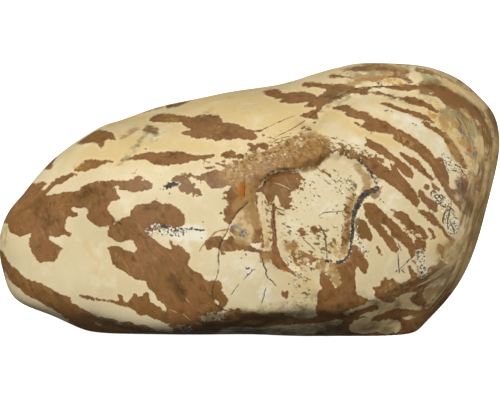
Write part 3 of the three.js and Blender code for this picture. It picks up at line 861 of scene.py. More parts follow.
# Thin brown wisps and dashes
BROWN_LINES = [
    Mark("strip wisp", [(368, 152), (374, 155), (380, 159), (385, 161.5)], 2.2),
    Mark("lens dash", [(145, 114), (152, 112)], 1.6),
    Mark("shoulder dot", [(144, 149), (146, 149)], 1.6),
    Mark("shoulder speck", [(135.5, 169.5), (137, 169.4)], 1.6),
    Mark("shoulder speck", [(132, 173.2), (135, 172.8)], 1.4),
    Mark("shoulder speck", [(159.5, 175), (161, 175)], 1.4),
    Mark("lens speck", [(205, 162), (210, 162)], 1.5),
    Mark("lens speck", [(220, 161), (225, 161.5)], 1.3),
    Mark("plane speck", [(262, 135), (265, 135)], 1.3),
    Mark("plane speck", [(268, 137.5), (270.5, 137.3)], 1.3),
    Mark("plane speck", [(275, 143), (276.5, 143)], 1.4),
    Mark("plane speck", [(294, 143.5), (295.5, 143)], 1.4),
    Mark("plane speck", [(304, 128.3), (310, 127.3)], 1.3),
    Mark("plane speck", [(314, 122.6), (316, 122.5)], 1.2),
    Mark("band dash", [(411, 233), (414, 235), (417, 238)], 1.5),
    Mark("olive dash", [(429.5, 228.5), (432, 232.5), (434, 237.5)], 3),
    Mark("small dot", [(431.3, 239), (431.6, 239.2)], 1.8),
    Mark("arch speck", [(392, 148), (393, 148.3)], 1.4),
    Mark("arch speck", [(351, 135.5), (352, 135.5)], 1.4),
    Mark("end speck", [(381, 186), (383, 187.5)], 1.5),
    Mark("scar dash", [(309.5, 188.5), (316, 189)], 1.8),
    Mark("scar dash", [(313.5, 191.5), (315, 191.5)], 1.2),
    Mark("scar lens", [(320, 170.5), (324, 171.5), (328, 174), (330.5, 176.5)], 2.4),
    Mark("low dot", [(299, 308), (303, 308)], 1.8),
    Mark("scar rib", [(256, 195), (256.5, 205), (258, 215), (260, 225), (262, 235), (263, 247)], 2.0),
    Mark("scar rib", [(262, 196), (262.3, 205)], 1.2),
    Mark("scar rib", [(268, 200), (270, 205)], 1.2),
    Mark("rim dash", [(169, 108.5), (180, 106.5), (192, 102), (203, 99), (208, 95.5)], 3.2),
    Mark("rim line", [(262, 87), (270, 85), (281, 83.5), (296, 81)], 1.2),
]

# Black and blue-black crust, with ragged edges
CRUST = [
    Mark("groove top", [(358.5, 160), (362, 163.3), (366, 167.5), (369, 171), (372, 175), (375, 179),
        (377, 184), (378, 189), (375, 192)], 3.2),
    Mark("groove bend", [(372, 190.5), (367.5, 193), (363.5, 196), (360.5, 199)], 6.6),
    Mark("groove neck", [(360.5, 199), (359, 203), (357, 207), (354.5, 212)], 6),
    Mark("groove side", [(354.5, 212), (353, 218), (352.3, 230), (351.3, 242)], 4.4),
    Mark("groove foot", [(351.3, 242), (350.3, 250), (349, 254), (346, 258), (342, 261), (337, 262.3)], 3.2),
    Mark("foot spot", [(326, 260.7), (331, 261)], 2.6),
    # the scar's top edge: a dark crack that also stands for the shadow under the brow's lip, partly painted
    # shadow
    Mark("scar edge", [(264.5, 184), (265.3, 179), (268.5, 174)], 2.4),
    Mark("scar edge", [(268.5, 173.5), (271, 172), (275, 170.6), (280, 170), (284, 169), (288, 169.3)], 1.9),
    Mark("collar edge", [(256, 192.5), (259, 189), (262.5, 185)], 1.6),
    Mark("feather crust", [(163, 187), (166, 184), (169, 182.5), (173, 181.7), (176, 182.5), (178.5, 183.5),
        (177.5, 186), (173, 187), (170, 188.5), (166, 188.5)]),
    Mark("feather crust", [(160, 227), (161.5, 224.5), (164, 223.7), (166.5, 225), (168, 227.5),
        (163, 228.5)]),
    Mark("feather crust", [(147, 232), (150, 234), (153, 233.5)], 1.8),
    Mark("feather", [(174, 231.5), (178, 229.7), (183, 228.9), (188, 229.3), (192, 228.4), (196, 229.6),
        (203, 230.3)], 1.9),
    Mark("chain blot", [(245, 268), (248.5, 268.3)], 2.2),
    Mark("stripe feather", [(416.5, 258), (419, 252), (423, 253)], 1.3),
    Mark("stripe feather", [(417, 266), (419, 272), (424, 273)], 1.3),
]

# Specks of manganese, each about 0.7 mm across
SPECKS = [
    (298.5, 193), (305.5, 198), (302, 224), (308, 226.5), (307.5, 205), (314.5, 196), (305, 183), (310, 185),
    (347.5, 179), (346.5, 183), (349, 180.5), (352, 184), (353.5, 181.5), (355.5, 186.5), (346.5, 188),
    (351, 188.5), (342, 193.5), (340, 191), (337, 213), (385.5, 111), (388, 110.3), (392, 112), (397, 112.5),
    (413, 123.5), (416, 125), (422, 122.5), (447, 157), (449.5, 158), (447.5, 162), (449.5, 165),
    (448, 168.5), (452, 170), (455.5, 171), (456, 165), (460, 168), (463, 171), (466, 175), (254, 269.5),
    (252, 270), (247.5, 274), (246, 254.5), (261, 262), (264, 264), (160, 189), (163, 189.5), (169.5, 193.5),
    (156.5, 199), (152, 231), (155, 229.5), (157.5, 233), (160, 231), (162, 234.5), (165, 231), (168, 232.5),
    (171, 230.5), (174, 233), (178, 231.5), (182, 232), (149, 236), (414, 261), (415, 263), (398, 243),
    (400, 247), (401, 250), (399, 245), (396, 247.5), (371, 133), (291, 262), (296, 268), (301, 274),
    (306, 281), (299, 285), (309, 290), (303, 293), (295, 280), (311, 270), (289, 284), (242, 232),
    (244, 236), (240, 235), (246, 233), (375, 199.5), (378, 201), (381, 199), (383, 202), (269, 226),
    (241, 258), (201.5, 238), (203, 222), (356, 235), (358, 239), (361, 243), (363, 247), (366, 251),
    (359, 232), (364, 253),
]

# Cracks and hairlines: one layer, and a second for those that leave or cross the first
CRACKS = [
    Crack([(248, 202), (243, 207), (239, 210), (234, 217), (230, 224), (228, 230), (226, 234)], 1.7, -0.1),
    Crack([(226, 234), (223, 238), (220, 245), (219, 252), (218.5, 259), (219, 265), (218, 272),
        (216.5, 278)], 1.7, 0.5),
    Crack([(216.5, 278), (214.5, 282), (213, 287), (212.5, 295), (215, 303), (221, 308.5), (231, 311.5)],
        1.5, 0.2),
    Crack([(117, 222), (119, 222.5), (122, 225)], 1.6, 0.8),
    Crack([(253, 270), (249, 274), (244, 279)], 1.0, 0.8),
    Crack([(239, 284), (236, 288), (231, 295)], 1.0, 0.8),
    Crack([(262.5, 258), (263, 262), (264, 266), (266, 270), (266, 274), (268, 278), (272, 281), (276, 286)],
        1.5, 0.9),
    Crack([(266, 288), (264.5, 292), (264, 296), (261.5, 303)], 1.1, 1.0),
    Crack([(200, 230), (203.5, 229.5)], 1.3, 1.0),
    Crack([(319, 216), (323, 213), (330, 212), (345, 211)], 1.1, 0.3),
    Crack([(319, 225), (324, 233), (326, 245), (327, 258)], 1.8, 0.1),
    Crack([(304, 240), (310, 245), (315, 250)], 1.3, 0.1),
    Crack([(293, 240), (298, 247)], 1.2, 0.1),
    Crack([(323, 179), (327, 182), (331, 184.5)], 1.3, 0.4),
    Crack([(398, 253), (398.5, 260), (399, 268), (399.5, 273)], 1.4, 0.8),
    Crack([(328, 100), (340, 96), (350, 91), (360, 88), (372, 87), (385, 86.5), (400, 87)], 1.3, 0.25),
    Crack([(258, 132), (268, 127), (280, 121.5), (296, 115)], 0.9, 0.4),
    Crack([(275, 137), (288, 131), (303, 122), (316, 112), (324, 106)], 0.9, 0.4),
    Crack([(431, 196), (431.5, 192), (434, 190.5), (437, 194), (440, 197), (443, 202)], 1.6, 1.0),
    Crack([(448, 206), (445, 213), (443, 220), (443.5, 224)], 1.6, 1.0),
    Crack([(451, 208), (454, 212), (455, 217), (458, 219)], 1.6, 1.0),
    Crack([(450, 222), (453, 228), (455, 234)], 1.4, 1.0),
    Crack([(455, 164), (459, 167)], 1.3, 1.0),
    Crack([(460, 168), (467, 178)], 1.3, 0.6),
    Crack([(244.5, 181), (244.3, 190), (244.5, 198)], 1.0, -0.1),
    Crack([(275.5, 210), (280, 213), (285, 216)], 1.6, 0.2),
    Crack([(273.5, 203), (273.8, 220), (275.5, 232), (276.5, 243)], 1.0, 0.3),
]
SIDE_CRACKS = [
    Crack([(174, 282), (178, 286), (181, 291), (184, 295)], 1.5, 0.2),
    Crack([(176, 290), (181, 289), (187, 291)], 1.2, 0.1),
    Crack([(229, 229), (222, 230.5), (216, 232), (211, 237), (205, 243), (201, 248), (199.5, 252)], 1.5,
        -0.35),
    Crack([(397, 270), (395, 273)], 1.2, 0.8),
    Crack([(400.5, 269), (405, 273)], 1.2, 0.8),
    Crack([(401, 268), (405, 264), (410, 259), (413, 257.5)], 1.3, 0.7),
    Crack([(272, 143), (278, 139), (291, 136)], 0.8, 0.4),
    Crack([(441, 195), (446, 199)], 1.4, 1.0),
    Crack([(440, 202), (444, 207), (449, 206)], 1.4, 1.0),
    Crack([(451, 207), (449, 214), (447.5, 222), (448, 229)], 1.4, 1.0),
    Crack([(451, 170), (457, 171)], 1.3, 1.0),
    Crack([(433, 196), (437, 199), (441, 206)], 1.2, 1.0),
    Crack([(275, 183), (280, 184.5), (286, 187), (291, 190)], 0.8, -0.7),
    Crack([(417, 286), (430, 279.5), (440, 274), (448, 267)], 1.5, -0.8),
    Crack([(397, 168), (402, 175), (407, 180)], 1.1, -1.0),
    Crack([(186, 299), (189, 302)], 0.6, -0.7),
    Crack([(170, 309.5), (177, 312.5)], 0.6, -0.7),
    Crack([(183, 314), (190, 320)], 0.6, -0.7),
    Crack([(195, 322.5), (201, 324.5)], 0.6, -0.7),
    Crack([(157, 256), (162, 254)], 1.2, -0.5),
    Crack([(95, 322.5), (101, 325)], 1.5, -0.8),
]

# The two layers, by the start of their attributes' names
CRACK_LAYERS = {"crack": CRACKS, "side_crack": SIDE_CRACKS}

# Soft stains of the show face, with painted shade along its foot and under the brow, and painted light by the
# foot
STAINS: dict[Tone, list[Mark]] = {
    Tone.GOLD: [
        Mark("upper plane", [(96, 128), (150, 110), (210, 95), (260, 88), (300, 82), (330, 78), (345, 100),
            (320, 122), (290, 132), (262, 138), (200, 146), (140, 148), (110, 152), (80, 155)], amount=0.85,
            fade=16),
        Mark("right end", [(440, 100), (470, 130), (476, 180), (462, 240)], 40, 0.8, 20),
        Mark("crown", [(330, 62), (370, 58), (420, 66), (450, 82), (420, 84), (370, 80), (335, 82)],
            amount=0.6, fade=8),
        Mark("arch", [(372, 98), (392, 108), (404, 118), (414, 130)], 8, 0.8, 6),
        Mark("crown right", [(396, 86), (416, 92), (434, 104)], 12, 0.9, 6),
        Mark("above strip", [(334, 110), (352, 118), (372, 126), (388, 136)], 16, 1.0, 7),
        Mark("third arch", [(388, 100), (408, 106), (424, 113)], 8, 1.0, 4),
        Mark("collar cream", [(246, 179), (254, 184), (256, 200), (260, 225), (268, 240), (270, 205),
            (263, 186)], amount=0.7, fade=5),
        Mark("low glow", [(193, 270), (198, 285)], 6, 0.5, 6),
        Mark("left ground", [(96, 272), (98, 262), (86, 244)], 3, 0.5, 3),
        # foot right also darkens the shaded underside at the lower right: a deeper cream, and partly painted
        # shade
        Mark("foot right", [(350, 322), (380, 318), (412, 304)], 28, 1.0, 6),
        Mark("olive ground", [(298, 276), (306, 292), (304, 306)], 16, 0.7, 6),
    ],
    Tone.PEARL: [
        Mark("feather light", [(150, 231), (160, 232), (172, 234), (185, 232), (200, 236)], 8, 1.0, 7),
        Mark("left crack light", [(190, 250), (202, 262), (206, 272)], 8, 0.6, 9),
        Mark("left low light", [(20, 235), (55, 258), (100, 280), (140, 305)], 50, 0.2, 20),
        Mark("collar foot light", [(236, 238), (248, 240), (257, 244)], 5, 0.9, 3),
        Mark("scar light", [(312, 182), (330, 176), (345, 184), (350, 200), (340, 212), (318, 206)],
            amount=0.5, fade=9),
        Mark("scar light low", [(286, 220), (300, 228), (296, 238)], 8, 0.4, 9),
        Mark("band light", [(398, 120), (412, 126), (428, 135), (440, 146), (452, 165), (462, 182)], 9, 0.9,
            6),
        Mark("right light", [(380, 196), (400, 206), (384, 190)], 8, 0.5, 8),
        Mark("feather ground", [(440, 194), (447, 206), (450, 222)], 12, 0.7, 4),
        Mark("low middle light", [(228, 264), (250, 275), (262, 290)], 26, 0.5, 14),
        Mark("foot right light", [(372, 262), (396, 262), (404, 270)], 14, 0.4, 10),
    ],
    Tone.DARKER_AND_PAINTED_SHADE: [
        Mark("left shade", [(45, 216), (42, 208)], 8, 0.6, 10),
        Mark("left shade", [(80, 199), (90, 193), (100, 190)], 3, 0.45, 4),
        Mark("shoulder shade", [(148, 129), (153, 130)], 3, 0.45, 2.5),
        Mark("haze shade", [(122, 160), (128, 155), (134, 149), (141, 141), (145, 135)], 1.2, 0.5, 2),
        Mark("lens shade", [(160, 158), (170, 154), (180, 156)], 3, 0.4, 5),
        Mark("double lens shade", [(206, 116), (216, 118), (222, 122)], 3, 0.4, 5),
        Mark("mass shade", [(173, 281), (178, 287), (183, 292)], 4, 0.75, 6),
        Mark("mass top shade", [(150, 206), (158, 203), (166, 208)], 4, 0.3, 7),
        Mark("mass left shade", [(112, 222), (120, 226)], 4, 0.3, 6),
        Mark("stripe shade", [(426, 152), (434, 162), (440, 172)], 5, 0.25, 7),
        Mark("stripe foot", [(456, 192), (464, 202), (468, 210)], 6, 0.3, 6),
        # block foot, foot shade, foot grey, foot hollow, foot right and foot edge: painted shade on the
        # underside along the foot
        Mark("block foot", [(319, 303), (335, 302), (350, 300), (362, 300)], 6, 0.45, 8),
        Mark("foot shade", [(200, 322), (250, 319), (290, 314), (330, 312), (350, 308)], 8, 0.9, 7),
        Mark("foot grey", [(230, 334), (270, 333), (310, 330), (340, 324)], 7, 0.8, 4),
        Mark("band shade", [(22, 280), (55, 302), (95, 318)], 2, 0.35, 5),
        Mark("foot hollow", [(340, 312), (360, 308), (385, 306), (396, 305)], 5, 0.5, 6),
        Mark("foot right", [(366, 326), (384, 327), (398, 325)], 8, 0.75, 5),
        Mark("foot edge", [(345, 337), (375, 338), (400, 336), (420, 328)], 4, 0.5, 5),
        Mark("crease shade", [(330, 98), (345, 94), (358, 90), (372, 88)], 3, 0.45, 5),
        Mark("right crown shade", [(424, 87), (440, 90), (452, 100)], 4, 0.3, 6),
        Mark("chain shade", [(392, 97), (402, 99.5), (415, 101)], 2, 0.4, 4),
        Mark("brow shade", [(268, 171), (285, 167.5), (300, 165), (315, 162), (322, 156), (326, 150)], 2.4,
            0.8, 4),
        Mark("collar shade", [(229, 186), (228, 200), (226, 214)], 2, 0.3, 5),
        Mark("end shade", [(461, 181), (464, 192), (468, 206), (474, 214)], 7, 0.8, 4),
        Mark("rim shade", [(492, 112), (499, 130), (500, 150)], 3, 0.4, 4),
        Mark("triangle shade", [(413, 299), (419, 300), (424, 305)], 4, 0.5, 4),
        Mark("groove rim", [(362, 158), (372, 168), (380, 180)], 1, 0.35, 3),
        Mark("scar ring", [(343, 250), (348, 238), (350, 222), (352, 208)], 1.5, 0.35, 3),
    ],
    Tone.LIGHTER_AND_PAINTED_LIGHT: [
        Mark("left glow", [(66, 200), (76, 205)], 6, 0.5, 9),
        Mark("left foot glow", [(60, 208), (56, 225)], 6, 0.4, 8),
        Mark("lens glow", [(165, 117), (176, 120)], 4, 0.5, 5),
        Mark("double lens glow", [(212, 124), (222, 135)], 6, 0.5, 8),
        Mark("stripe glow", [(436, 172), (444, 184), (452, 196)], 5, 0.5, 7),
        Mark("stripe middle glow", [(398, 135), (410, 146)], 5, 0.5, 6),
        Mark("mass glow", [(140, 238), (150, 250), (150, 262)], 8, 0.5, 10),
        Mark("mass left glow", [(118, 252), (124, 260)], 4, 0.6, 6),
        Mark("mass low glow", [(190, 300), (205, 306)], 6, 0.4, 9),
        Mark("block glow", [(348, 270), (350, 285)], 5, 0.4, 8),
        Mark("band glow", [(60, 302), (80, 310)], 3, 0.3, 5),
        Mark("drip glow", [(280, 97), (296, 98)], 3, 0.4, 5),
        Mark("right stripes", [(420, 146), (436, 168), (448, 186), (462, 206)], 16, 0.45, 10),
        Mark("right crown", [(450, 92), (470, 104), (480, 116)], 12, 0.5, 8),
        Mark("middle", [(186, 166), (214, 172), (232, 200)], 12, 0.4, 10),
        Mark("strip light", [(440, 132), (452, 148), (462, 163)], 7, 0.7, 4),
        Mark("stripe start", [(396, 137), (404, 140), (410, 145)], 9, 1.0, 2),
        # the last two: painted light on the shaded lower right band and the shaded lower left foot
        Mark("right band painted light", [(392, 292), (412, 286), (430, 278), (444, 270)], 14, 1.0, 6),
        Mark("foot left painted light", [(96, 320), (118, 325), (150, 328), (180, 330)], 8, 1.0, 3),
    ],
    Tone.GRAIN: [
        Mark("brow", [(222, 178), (228, 168), (242, 161), (260, 154), (278, 149), (294, 140), (316, 136),
            (328, 142), (326, 152), (318, 160), (300, 164), (280, 165), (262, 170), (246, 179)], amount=0.9,
            fade=4),
        Mark("collar", [(250, 180), (252, 196), (250, 214)], 8, 0.35, 4),
        Mark("brow foot", [(262, 176), (276, 170), (296, 168), (318, 164), (326, 156)], 4, 0.7, 3),
    ],
    Tone.TAN: [
        Mark("right rim", [(486, 108), (505, 110), (510, 170), (500, 215), (480, 262), (455, 305),
            (430, 330), (415, 325), (436, 305), (452, 280), (462, 262), (468, 245), (472, 230), (476, 212),
            (478, 200), (478, 185), (483, 175), (487, 160), (487, 145), (484, 132), (480, 121)], amount=0.9,
            fade=3),
        Mark("strip", [(446, 138), (454, 150), (461, 160)], 6, 0.5, 3),
        Mark("shoulder streak", [(122, 137), (130, 133), (138, 128)], 1.2, 0.5, 2.5),
        Mark("crown tan", [(350, 81), (358, 78.5), (368, 77.5), (378, 78)], 3, 0.8, 4),
        Mark("crown top", [(368, 67.5), (390, 69.5), (404, 72)], 4, 0.9, 5),
        Mark("end ground", [(450, 118), (464, 126), (474, 146), (480, 170), (474, 200)], 16, 0.85, 5),
        Mark("scar left wall", [(248, 184), (250, 200), (254, 215), (257, 235)], 6, 0.5, 4),
        Mark("collar low", [(244, 208), (246, 220), (244, 234)], 15, 1.0, 4),
        Mark("scar right strip", [(352, 192), (349, 204)], 4, 0.6, 3),
        Mark("chip ground", [(266, 240), (266, 260)], 6, 0.5, 4),
        Mark("bed", [(292, 246), (300, 262)], 8, 0.5, 5),
        Mark("groove wall", [(356, 166), (364, 176), (367, 186), (360, 196), (354, 204), (349, 216),
            (346, 232), (344, 250)], 4, 0.75, 2.5),
        Mark("window tan", [(322, 264), (330, 270), (336, 280)], 6, 0.6, 4),
        Mark("foot left", [(230, 316), (260, 320), (300, 318)], 6, 0.4, 6),
        Mark("low right rim", [(452, 250), (444, 275), (430, 300)], 14, 0.6, 8),
        Mark("left rim strip", [(3, 240), (2, 222)], 3, 0.3, 5),
    ],
    Tone.OCHRE: [
        Mark("lens ochre", [(166, 119), (175, 119.5)], 4, 0.6, 3),
        Mark("dash ochre", [(78, 168), (83, 165.5)], 4, 0.7, 4),
        Mark("left ochre", [(12, 204), (17, 206)], 4, 0.5, 6),
        Mark("left ochre", [(62, 207), (60, 214)], 4, 0.4, 6),
        Mark("brow fire", [(300, 163), (310, 158), (319, 151)], 3, 0.9, 3),
        Mark("crown amber", [(384, 79), (392, 81), (400, 83)], 4, 0.75, 4),
        Mark("chain amber", [(431, 115), (435, 118)], 4, 0.75, 3),
        Mark("end ochre", [(448, 120), (454, 123), (459, 127)], 3, 0.4, 3),
        Mark("end ochre", [(457, 136), (461, 141), (465, 146)], 3, 0.45, 2.5),
        Mark("crack ochre", [(225, 232), (227, 234)], 3, 0.8, 3),
        Mark("low crack ochre", [(210, 301), (211, 311)], 2.5, 0.5, 3),
        Mark("scar ochre", [(330, 244), (337, 250), (341, 256)], 6, 0.6, 5),
        Mark("bed orange", [(292, 250), (297, 260)], 4, 0.6, 4),
        Mark("groove ochre", [(362, 166), (368, 178), (370, 188)], 3, 0.4, 4),
        Mark("brow ochre", [(284, 164), (298, 163), (310, 160), (320, 154)], 3, 0.5, 5),
        Mark("olive line", [(275, 210), (282, 214)], 6, 0.4, 4),
        Mark("shoulder glow", [(112, 132), (120, 135), (130, 134)], 4, 0.25, 6),
        Mark("plane glow", [(238, 111), (248, 108), (258, 108)], 4, 0.25, 6),
        Mark("collar ochre", [(247, 180), (247.5, 190)], 2.5, 0.9, 2),
        Mark("slit ochre", [(238, 184), (239, 194)], 2, 0.8, 2),
    ],
    Tone.RUST: [
        Mark("slit", [(240, 182), (241, 190), (242.5, 198)], 3.8, 1.0, 1.8),
        Mark("slit light", [(247, 181), (247.5, 190)], 2, 0.5, 1.5),
        Mark("brow edge", [(290, 165.5), (300, 164), (308, 162), (317, 158), (323, 151)], 1.4, 0.95, 2),
        Mark("triangle", [(373, 190), (378, 187.5), (379, 192), (377.5, 196), (374.5, 197.5), (372, 194)],
            amount=0.45, fade=1.5),
        Mark("chip red", [(272, 250), (276, 258), (284, 268)], 4, 0.5, 3),
        Mark("end rust", [(462, 172), (467, 186)], 4, 0.7, 3),
        Mark("end rust", [(468, 148), (471, 150)], 2.5, 1.0, 2),
        Mark("red dots", [(413, 261), (415, 263)], 1.6, 0.7, 1.4),
        Mark("foot red", [(385, 315), (400, 311), (420, 311)], 3, 0.3, 4),
    ],
    Tone.HAZE: [
        Mark("haze streak", [(119, 165), (124, 158.5), (132, 151), (139, 143), (147, 134)], 2, 0.65, 3),
        Mark("haze foot", [(122, 160), (130, 154), (138, 147)], 2.5, 0.85, 3),
        Mark("haze top", [(150, 136), (158, 137), (165, 134)], 4, 0.45, 4),
        Mark("shoulder blob", [(147, 130), (154, 132)], 6, 0.5, 3),
        Mark("pebbly", [(330, 144), (345, 147), (362, 156)], 7, 0.35, 4),
        Mark("crown olive", [(344, 75), (362, 72.5), (384, 73.5)], 5, 0.45, 4),
        Mark("end grey", [(448, 111.5), (456, 115.5), (465, 120.5), (471, 127), (475, 133)], 6, 1.0, 3),
        Mark("crown grey", [(424, 78), (432, 79), (439, 81.5)], 4, 0.9, 3),
        Mark("crown wedge", [(422, 95), (430, 100), (437, 105)], 5, 0.7, 3),
        Mark("faint top", [(218, 99), (232, 99.5)], 2.5, 0.35, 4),
        Mark("faint top", [(243, 102), (252, 102)], 2, 0.3, 4),
        Mark("end smudge", [(469, 180), (474, 196)], 3.5, 0.5, 4),
        Mark("low olive", [(302, 290), (306, 302), (304, 314)], 10, 0.5, 8),
        # these two also darken the shaded underside by the foot: a grey-green tint, and partly painted shade
        Mark("low olive", [(262, 309), (284, 309), (300, 308)], 6, 0.6, 5),
        Mark("foot grey", [(240, 332), (285, 333), (330, 328)], 7, 0.8, 4),
        Mark("crease olive", [(325, 108), (335, 101), (346, 95)], 5, 0.75, 4),
        Mark("right low olive", [(440, 262), (448, 258), (440, 290)], 8, 0.4, 8),
        Mark("right speckle", [(455, 232), (452, 250), (446, 262)], 6, 0.35, 7),
        Mark("smudge", [(378, 194), (384, 202)], 2, 0.4, 3),
    ],
    Tone.SLATE: [
        Mark("collar smudge", [(236, 226), (241, 230), (245, 235)], 5, 1.0, 3),
        Mark("groove patch", [(356, 214), (360, 210), (364, 208)], 5, 0.5, 3),
        Mark("groove glow", [(362, 166), (370, 176), (375, 188), (366, 196), (358, 208), (355, 225)], 3, 0.5,
            3.5),
        Mark("groove foot", [(352, 238), (350, 252), (342, 261)], 2, 0.4, 3),
        Mark("end violet", [(462, 130), (468, 138), (473, 145)], 5, 1.0, 3),
        Mark("end blue", [(467, 152), (471, 154.5), (475, 156)], 3.5, 0.9, 2.5),
        Mark("crust glow", [(163, 186), (172, 185), (178, 185)], 2, 0.35, 2.5),
        Mark("feather glow", [(152, 231), (162, 228), (176, 231), (186, 230)], 3, 0.35, 3),
        Mark("foot crust", [(178, 326), (192, 330)], 3, 0.5, 3),
    ],
    Tone.FLECK: [
        Mark("feather flecks", [(150, 231), (158, 228), (170, 231), (182, 232)], 8, 1, 3),
        Mark("root flecks", [(157, 193), (170, 190)], 5, 0.4, 4),
        Mark("scar upper flecks", [(338, 180), (350, 184), (346, 190)], 10, 0.75, 5),
        Mark("right flecks", [(444, 158), (452, 166), (460, 172)], 8, 0.9, 4),
        Mark("feather ground flecks", [(436, 196), (446, 204), (449, 220), (453, 230)], 9, 1, 3),
        Mark("stripe feather flecks", [(419, 252), (422, 262), (423, 272)], 8, 1, 1.5),
        Mark("low flecks", [(292, 262), (300, 278), (300, 296)], 14, 0.55, 8),
        Mark("groove pebbles", [(355, 226), (357, 238), (362, 248), (366, 254)], 5, 0.85, 3),
        Mark("foot flecks", [(206, 315), (220, 318)], 5, 0.5, 3),
        Mark("foot flecks left", [(180, 326), (190, 329)], 5, 1.0, 2),
        Mark("chain flecks", [(246, 260), (256, 270), (266, 278)], 8, 0.35, 6),
        Mark("end flecks", [(456, 128), (470, 148), (472, 190)], 10, 0.5, 5),
        Mark("middle flecks", [(270, 208), (278, 225), (284, 240)], 8, 0.4, 5),
        Mark("block flecks", [(368, 256), (370, 275)], 6, 0.3, 5),
        Mark("band flecks", [(384, 112), (398, 113)], 3, 0.6, 2.5),
        Mark("brow flecks", [(330, 146), (350, 150)], 8, 0.5, 4),
        Mark("groove flecks", [(352, 208), (348, 216)], 6, 0.5, 3),
        Mark("right low flecks", [(450, 244), (446, 262), (438, 290)], 8, 0.35, 5),
    ],
    Tone.MOTTLE: [
        Mark("brow top", [(236, 172), (248, 164), (262, 157), (276, 153), (290, 149), (302, 142),
            (316, 138)], 5, 0.8, 3),
        Mark("brow", [(262, 166), (280, 160), (300, 155), (316, 148), (326, 145)], 7, 0.45, 4),
        Mark("right scales", [(300, 134), (318, 136), (334, 144), (350, 151)], 9, 1.0, 5),
        Mark("end scales", [(452, 118), (464, 132), (474, 152), (474, 172)], 12, 0.9, 4),
        Mark("collar scales", [(238, 214), (246, 226), (250, 240)], 10, 0.5, 5),
        Mark("groove scales", [(360, 150), (372, 158), (388, 166)], 5, 0.6, 3),
        Mark("foot scales", [(205, 316), (222, 319)], 6, 0.8, 3),
        Mark("window scales", [(324, 266), (332, 272), (337, 281)], 5, 0.7, 3),
        Mark("scar top scales", [(294, 174), (302, 184), (300, 191), (292, 200), (293, 208)], 4, 0.7, 3),
        Mark("scar low scales", [(302, 254), (312, 260), (326, 262)], 5, 0.7, 3),
        Mark("scar right scales", [(343, 246), (342, 232), (346, 214)], 4, 0.8, 3),
        Mark("root scales", [(186, 178), (200, 182), (196, 194)], 5, 0.6, 3),
        Mark("mass foot scales", [(172, 320), (186, 318), (205, 314)], 5, 0.6, 3),
        Mark("stripe scales", [(405, 225), (414, 236), (420, 246)], 4, 0.4, 3),
        Mark("collar left scales", [(228, 184), (224, 196), (224, 212)], 4, 0.35, 3),
    ],
    Tone.SPRAY: [
        Mark("scar", [(280, 175), (306, 166), (330, 166), (350, 176), (356, 190), (346, 206), (344, 228),
            (346, 248), (330, 258), (305, 250), (284, 244), (278, 215), (292, 204), (294, 190), (302, 186)],
            amount=0.62, fade=3),
        Mark("scar left", [(281, 208), (288, 222), (285, 238)], 8, 0.95, 4),
        Mark("scar low", [(302, 234), (318, 232), (330, 246), (316, 250)], 10, 0.95, 4),
        Mark("scar right", [(350, 180), (354, 190), (347, 206), (346, 238)], 6, 1.0, 3),
        Mark("scar top", [(312, 170), (328, 176), (338, 184)], 6, 0.75, 4),
        Mark("above brow", [(262, 134), (290, 124), (312, 126), (330, 134), (306, 136), (284, 146),
            (262, 144)], amount=0.5, fade=6),
        Mark("left of brow", [(204, 164), (222, 164), (236, 160)], 8, 0.6, 5),
        Mark("top of brow", [(250, 156), (270, 148), (290, 142)], 9, 0.9, 5),
        Mark("root", [(176, 190), (200, 188), (222, 182)], 9, 0.35, 4),
        Mark("collar", [(226, 184), (222, 200), (222, 212)], 5, 0.5, 4),
        Mark("scar column", [(268, 198), (270, 215), (271, 238)], 5, 1.0, 3),
        Mark("groove", [(356, 232), (364, 246), (372, 262)], 8, 0.45, 4),
        Mark("low column", [(296, 262), (302, 280), (300, 298)], 14, 0.85, 6),
        Mark("right", [(438, 226), (446, 240), (446, 262)], 8, 0.45, 6),
        Mark("end", [(448, 158), (462, 172), (470, 190)], 10, 0.5, 5),
        Mark("branch top", [(240, 236), (252, 240)], 4, 0.5, 3),
        Mark("stripes", [(362, 148), (378, 158), (390, 166)], 5, 0.5, 4),
        Mark("stripes", [(400, 250), (420, 262), (436, 266)], 10, 0.4, 5),
        Mark("pebbly", [(328, 142), (345, 146), (362, 156)], 9, 1.0, 4),
    ],
    Tone.STRIPE: [
        Mark("crown band", [(424, 87.5), (432, 86), (440, 86), (446, 90), (456, 97), (465, 103), (475, 111),
            (482, 119), (487, 128), (490, 138)], 7, 1.0, 3),
        Mark("crown band foot", [(446, 97), (455, 103), (466, 110), (476, 119), (482, 128)], 6, 0.7, 3),
        Mark("crown line", [(416, 69.5), (430, 73), (443, 76), (452, 81), (461, 85.5), (468, 91),
            (477, 98.5), (484, 106)], 1.2, 0.75, 1.4),
        Mark("crown line", [(394, 75), (403, 76.5), (411, 82)], 1.4, 0.7, 1.5),
        Mark("crown edge", [(354, 69.6), (364, 69), (376, 68.5), (390, 69.5), (407, 72.5)], 1.2, 0.7, 1.4),
        Mark("outer layer", [(484, 103), (492, 116), (497, 128), (499, 142)], 2.5, 0.7, 2),
        Mark("inner layer", [(486, 134), (489, 150), (489, 170), (486, 190), (480, 215)], 1, 0.5, 1.4),
        Mark("triangle", [(373, 190), (378, 187.5), (379, 192), (377.5, 196), (374.5, 197.5), (372, 194)],
            amount=1.0, fade=1.2),
        Mark("end blob", [(461, 181), (463, 189), (465, 200), (467, 210)], 5, 0.8, 3),
        Mark("end dashes", [(482, 134), (485, 146), (486, 160)], 1, 0.6, 1.2),
        Mark("end dashes", [(470, 121), (477, 129), (481, 139)], 1, 0.6, 1.2),
        Mark("end dashes", [(478, 152), (481, 162), (482, 175), (479, 190)], 1.2, 0.7, 1.4),
        Mark("end dashes", [(474, 170), (476, 180), (474, 192)], 1.2, 0.6, 1.4),
